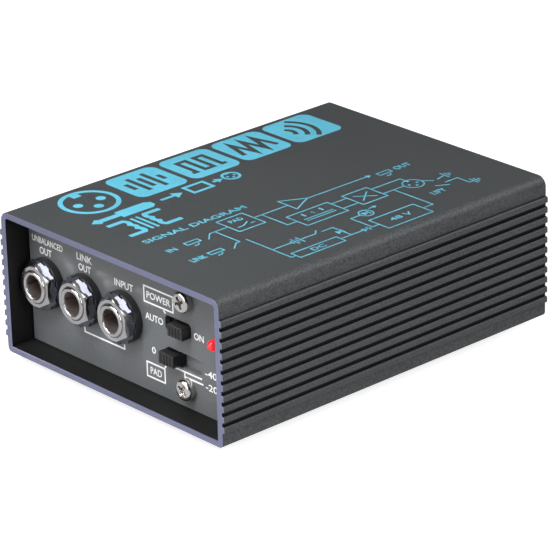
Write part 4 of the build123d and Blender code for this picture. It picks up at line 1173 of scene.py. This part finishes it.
insert_low, insert_high = corners("xlr_insert")
insert_back = insert_low.y - chassis_high.y
insert_front = insert_high.y - chassis_high.y
insert = turned([(0, insert_back), (CUP - 1, insert_back), (CUP - 1, insert_front - 0.3),
                 (CUP - 1.3, insert_front), (0, insert_front)], 48)
add_piece("connector_insert", moved(insert, shell_place), "box", "black_plastic", BLACK_MOULDING,
          stands_for=["xlr_insert"], soften=0.1)
pins_low, pins_high = corners("xlr_pins")
pin_tip = pins_high.y - chassis_high.y
pin_tail = pins_low.y - chassis_high.y
pins = [moved(turned([(0, pin_tail), (PIN, pin_tail), *arc((PIN - 0.9, pin_tip - 0.9), 0.9, 0, 90, 5),
                      (0, pin_tip)], 28), at(dx, dz)) for dx, dz in pin_places]
add_piece("connector_pins", moved(gathered(pins), shell_place), "box", "contact_metal", NICKEL,
          stands_for=["xlr_pins"])
connector_screws = [moved(cross_screw(SMALL_HEAD, SMALL_HEAD_HEIGHT, THREAD, CONNECTOR_SCREW_LONG, turn),
                          shell_place @ at(dx, dz, FLANGE_THICK))
                    for (dx, dz), turn in zip(screw_places, (31, -8))]
add_piece("connector_screws", gathered(connector_screws), "box", "screw_steel", SCREW_STEEL,
          stands_for=["xlr_screws"], soften=0.05)


# Ground-lift screws
# Two small screws hold the upright slide switch behind the rear wall.
LIFT_HEAD = 2.25
LIFT_HEAD_HEIGHT = 1.6
LIFT_THREAD = 1.2
LIFT_SCREW_LONG = 4.5
lift_screw_low, lift_screw_high = corners("ground_lift_screws")
lift_screws = [moved(cross_screw(LIFT_HEAD, LIFT_HEAD_HEIGHT, LIFT_THREAD, LIFT_SCREW_LONG, turn),
                     at(lift_x, 0, z) @ rear_face)
               for z, turn in ((lift_screw_low.z + LIFT_HEAD, 5), (lift_screw_high.z - LIFT_HEAD, 38))]
add_piece("lift_switch_screws", gathered(lift_screws), "box", "screw_steel", SCREW_STEEL,
          stands_for=["ground_lift_screws"], soften=0.04)


# Battery drawer
# A moulded tray for a nine-volt block, pulled out by the scoop in its face plate.
DRAWER_PLASTIC = moulded("drawer_plastic", (0.02, 0.02, 0.021), (0.032, 0.032, 0.034), 0.4, 0.35)
drawer_low, drawer_high = corners("battery_drawer")
BATTERY_BAND = 14.0
RIDGES = 5
RIDGE_LOWEST = 4.0
RIDGE_STEP = 1.7
RIDGE_LONG = 18.0
RIDGE_WIDE = 0.8
RIDGE_STAND = 0.35


def drawer_ridges():
    """Moulded gripping ridges under the scoop of the face plate."""
    centre = middle(drawer_low, drawer_high).x
    heights = [drawer_low.z + RIDGE_LOWEST + RIDGE_STEP * i for i in range(RIDGES)]
    return gathered([bar(centre - RIDGE_LONG / 2, centre + RIDGE_LONG / 2, drawer_high.y - 0.1,
                         drawer_high.y + RIDGE_STAND, z, z + RIDGE_WIDE) for z in heights])


def battery_wrap():
    """Printed wrap: dark over most of its length, with a warm metallic band at the terminal end."""
    finish = blank_finish("battery_wrap", Coat_Weight=0.3)
    fine = use_group(finish, GRAIN, Grain_mm=0.4, Drift_mm=12.0)
    tree = finish.node_tree
    axes = tree.nodes.new("ShaderNodeSeparateXYZ")
    tree.links.new(tree.nodes.new("ShaderNodeTexCoord").outputs["Object"], axes.inputs[0])
    band_edge = corners("battery_case")[0].y + BATTERY_BAND
    banded = worked(tree, "LESS_THAN", axes.outputs["Y"], band_edge * MM)
    dark = blended(finish, fine["Drift"], (0.012, 0.013, 0.016), (0.03, 0.032, 0.036))
    paint(finish, blended(finish, banded, dark, (0.55, 0.33, 0.12)))
    sweep(finish, fine["Grain"], "Roughness", 0.25, 0.4)
    tree.links.new(banded, tree.nodes["Principled BSDF"].inputs["Metallic"])
    return finish


BATTERY_WRAP = battery_wrap()
smooth_copy("drawer_tray", "battery_drawer", "drawer", "black_plastic", DRAWER_PLASTIC)
add_piece("drawer_ridges", drawer_ridges(), "drawer", "black_plastic", DRAWER_PLASTIC, soften=0.12)
smooth_copy("battery_block", "battery_case", "drawer", "battery_wrap", BATTERY_WRAP)
smooth_copy("battery_snaps", "battery_terminals", "drawer", "contact_metal", CONTACT)


# Finishes of the parts inside
# Circuit boards, components, wires, switch frames and pillars keep their CAD shapes.
def circuit_board():
    """Green solder resist over copper tracks."""
    finish = blank_finish("circuit_board", Coat_Weight=0.25)
    tree = finish.node_tree
    fine = use_group(finish, GRAIN, Grain_mm=0.3, Drift_mm=14.0)
    tracks = tree.nodes.new("ShaderNodeTexVoronoi")
    tracks.feature = "DISTANCE_TO_EDGE"
    tracks.inputs["Scale"].default_value = 260.0
    tree.links.new(tree.nodes.new("ShaderNodeTexCoord").outputs["Object"], tracks.inputs["Vector"])
    track = worked(tree, "LESS_THAN", tracks.outputs["Distance"], 0.09)
    resist = blended(finish, fine["Drift"], (0.012, 0.07, 0.03), (0.02, 0.11, 0.045))
    paint(finish, blended(finish, track, resist, (0.05, 0.2, 0.08)))
    sweep(finish, fine["Grain"], "Roughness", 0.3, 0.42)
    relief(finish, track, 0.03, 0.6)
    return finish


FINISHES = {
    "sleeve_black": ANODISED, "panel_grey": PANEL_PAINT, "zinc_steel": PANEL_PAINT,
    "screw_steel": SCREW_STEEL, "rubber_black": RUBBER, "nickel_plate": NICKEL,
    "black_plastic": BLACK_MOULDING, "knob_black": KNOB_PLASTIC, "contact_metal": CONTACT,
    "connector_shell": CASTING, "board_green": circuit_board(),
    "shutter_grey": moulded("shutter_grey", (0.11, 0.115, 0.12), (0.15, 0.155, 0.16), 0.4),
    "frame_steel": bright_plate("frame_steel", (0.42, 0.43, 0.44), (0.55, 0.56, 0.57), 0.3),
    "brass_pillar": bright_plate("pillar_brass", (0.62, 0.45, 0.2), (0.74, 0.56, 0.28), 0.25),
    "lamp_red": LAMP_EPOXY, "battery_wrap": BATTERY_WRAP,
    "wire_insulation": moulded("wire_vinyl", (0.10, 0.10, 0.12), (0.2, 0.2, 0.22), 0.35),
    "capacitor_sleeve": moulded("capacitor_sleeve", (0.012, 0.016, 0.05), (0.02, 0.026, 0.08), 0.25),
    "film_box": moulded("film_box", (0.36, 0.05, 0.03), (0.48, 0.08, 0.05), 0.25),
    "resistor_body": moulded("resistor_lacquer", (0.5, 0.4, 0.26), (0.62, 0.52, 0.36), 0.3),
}
for part in frame["record"]["subparts"]:
    for slot in frame["nodes"][part["node"]].material_slots:
        slot.material = FINISHES[part["material_slot"]]
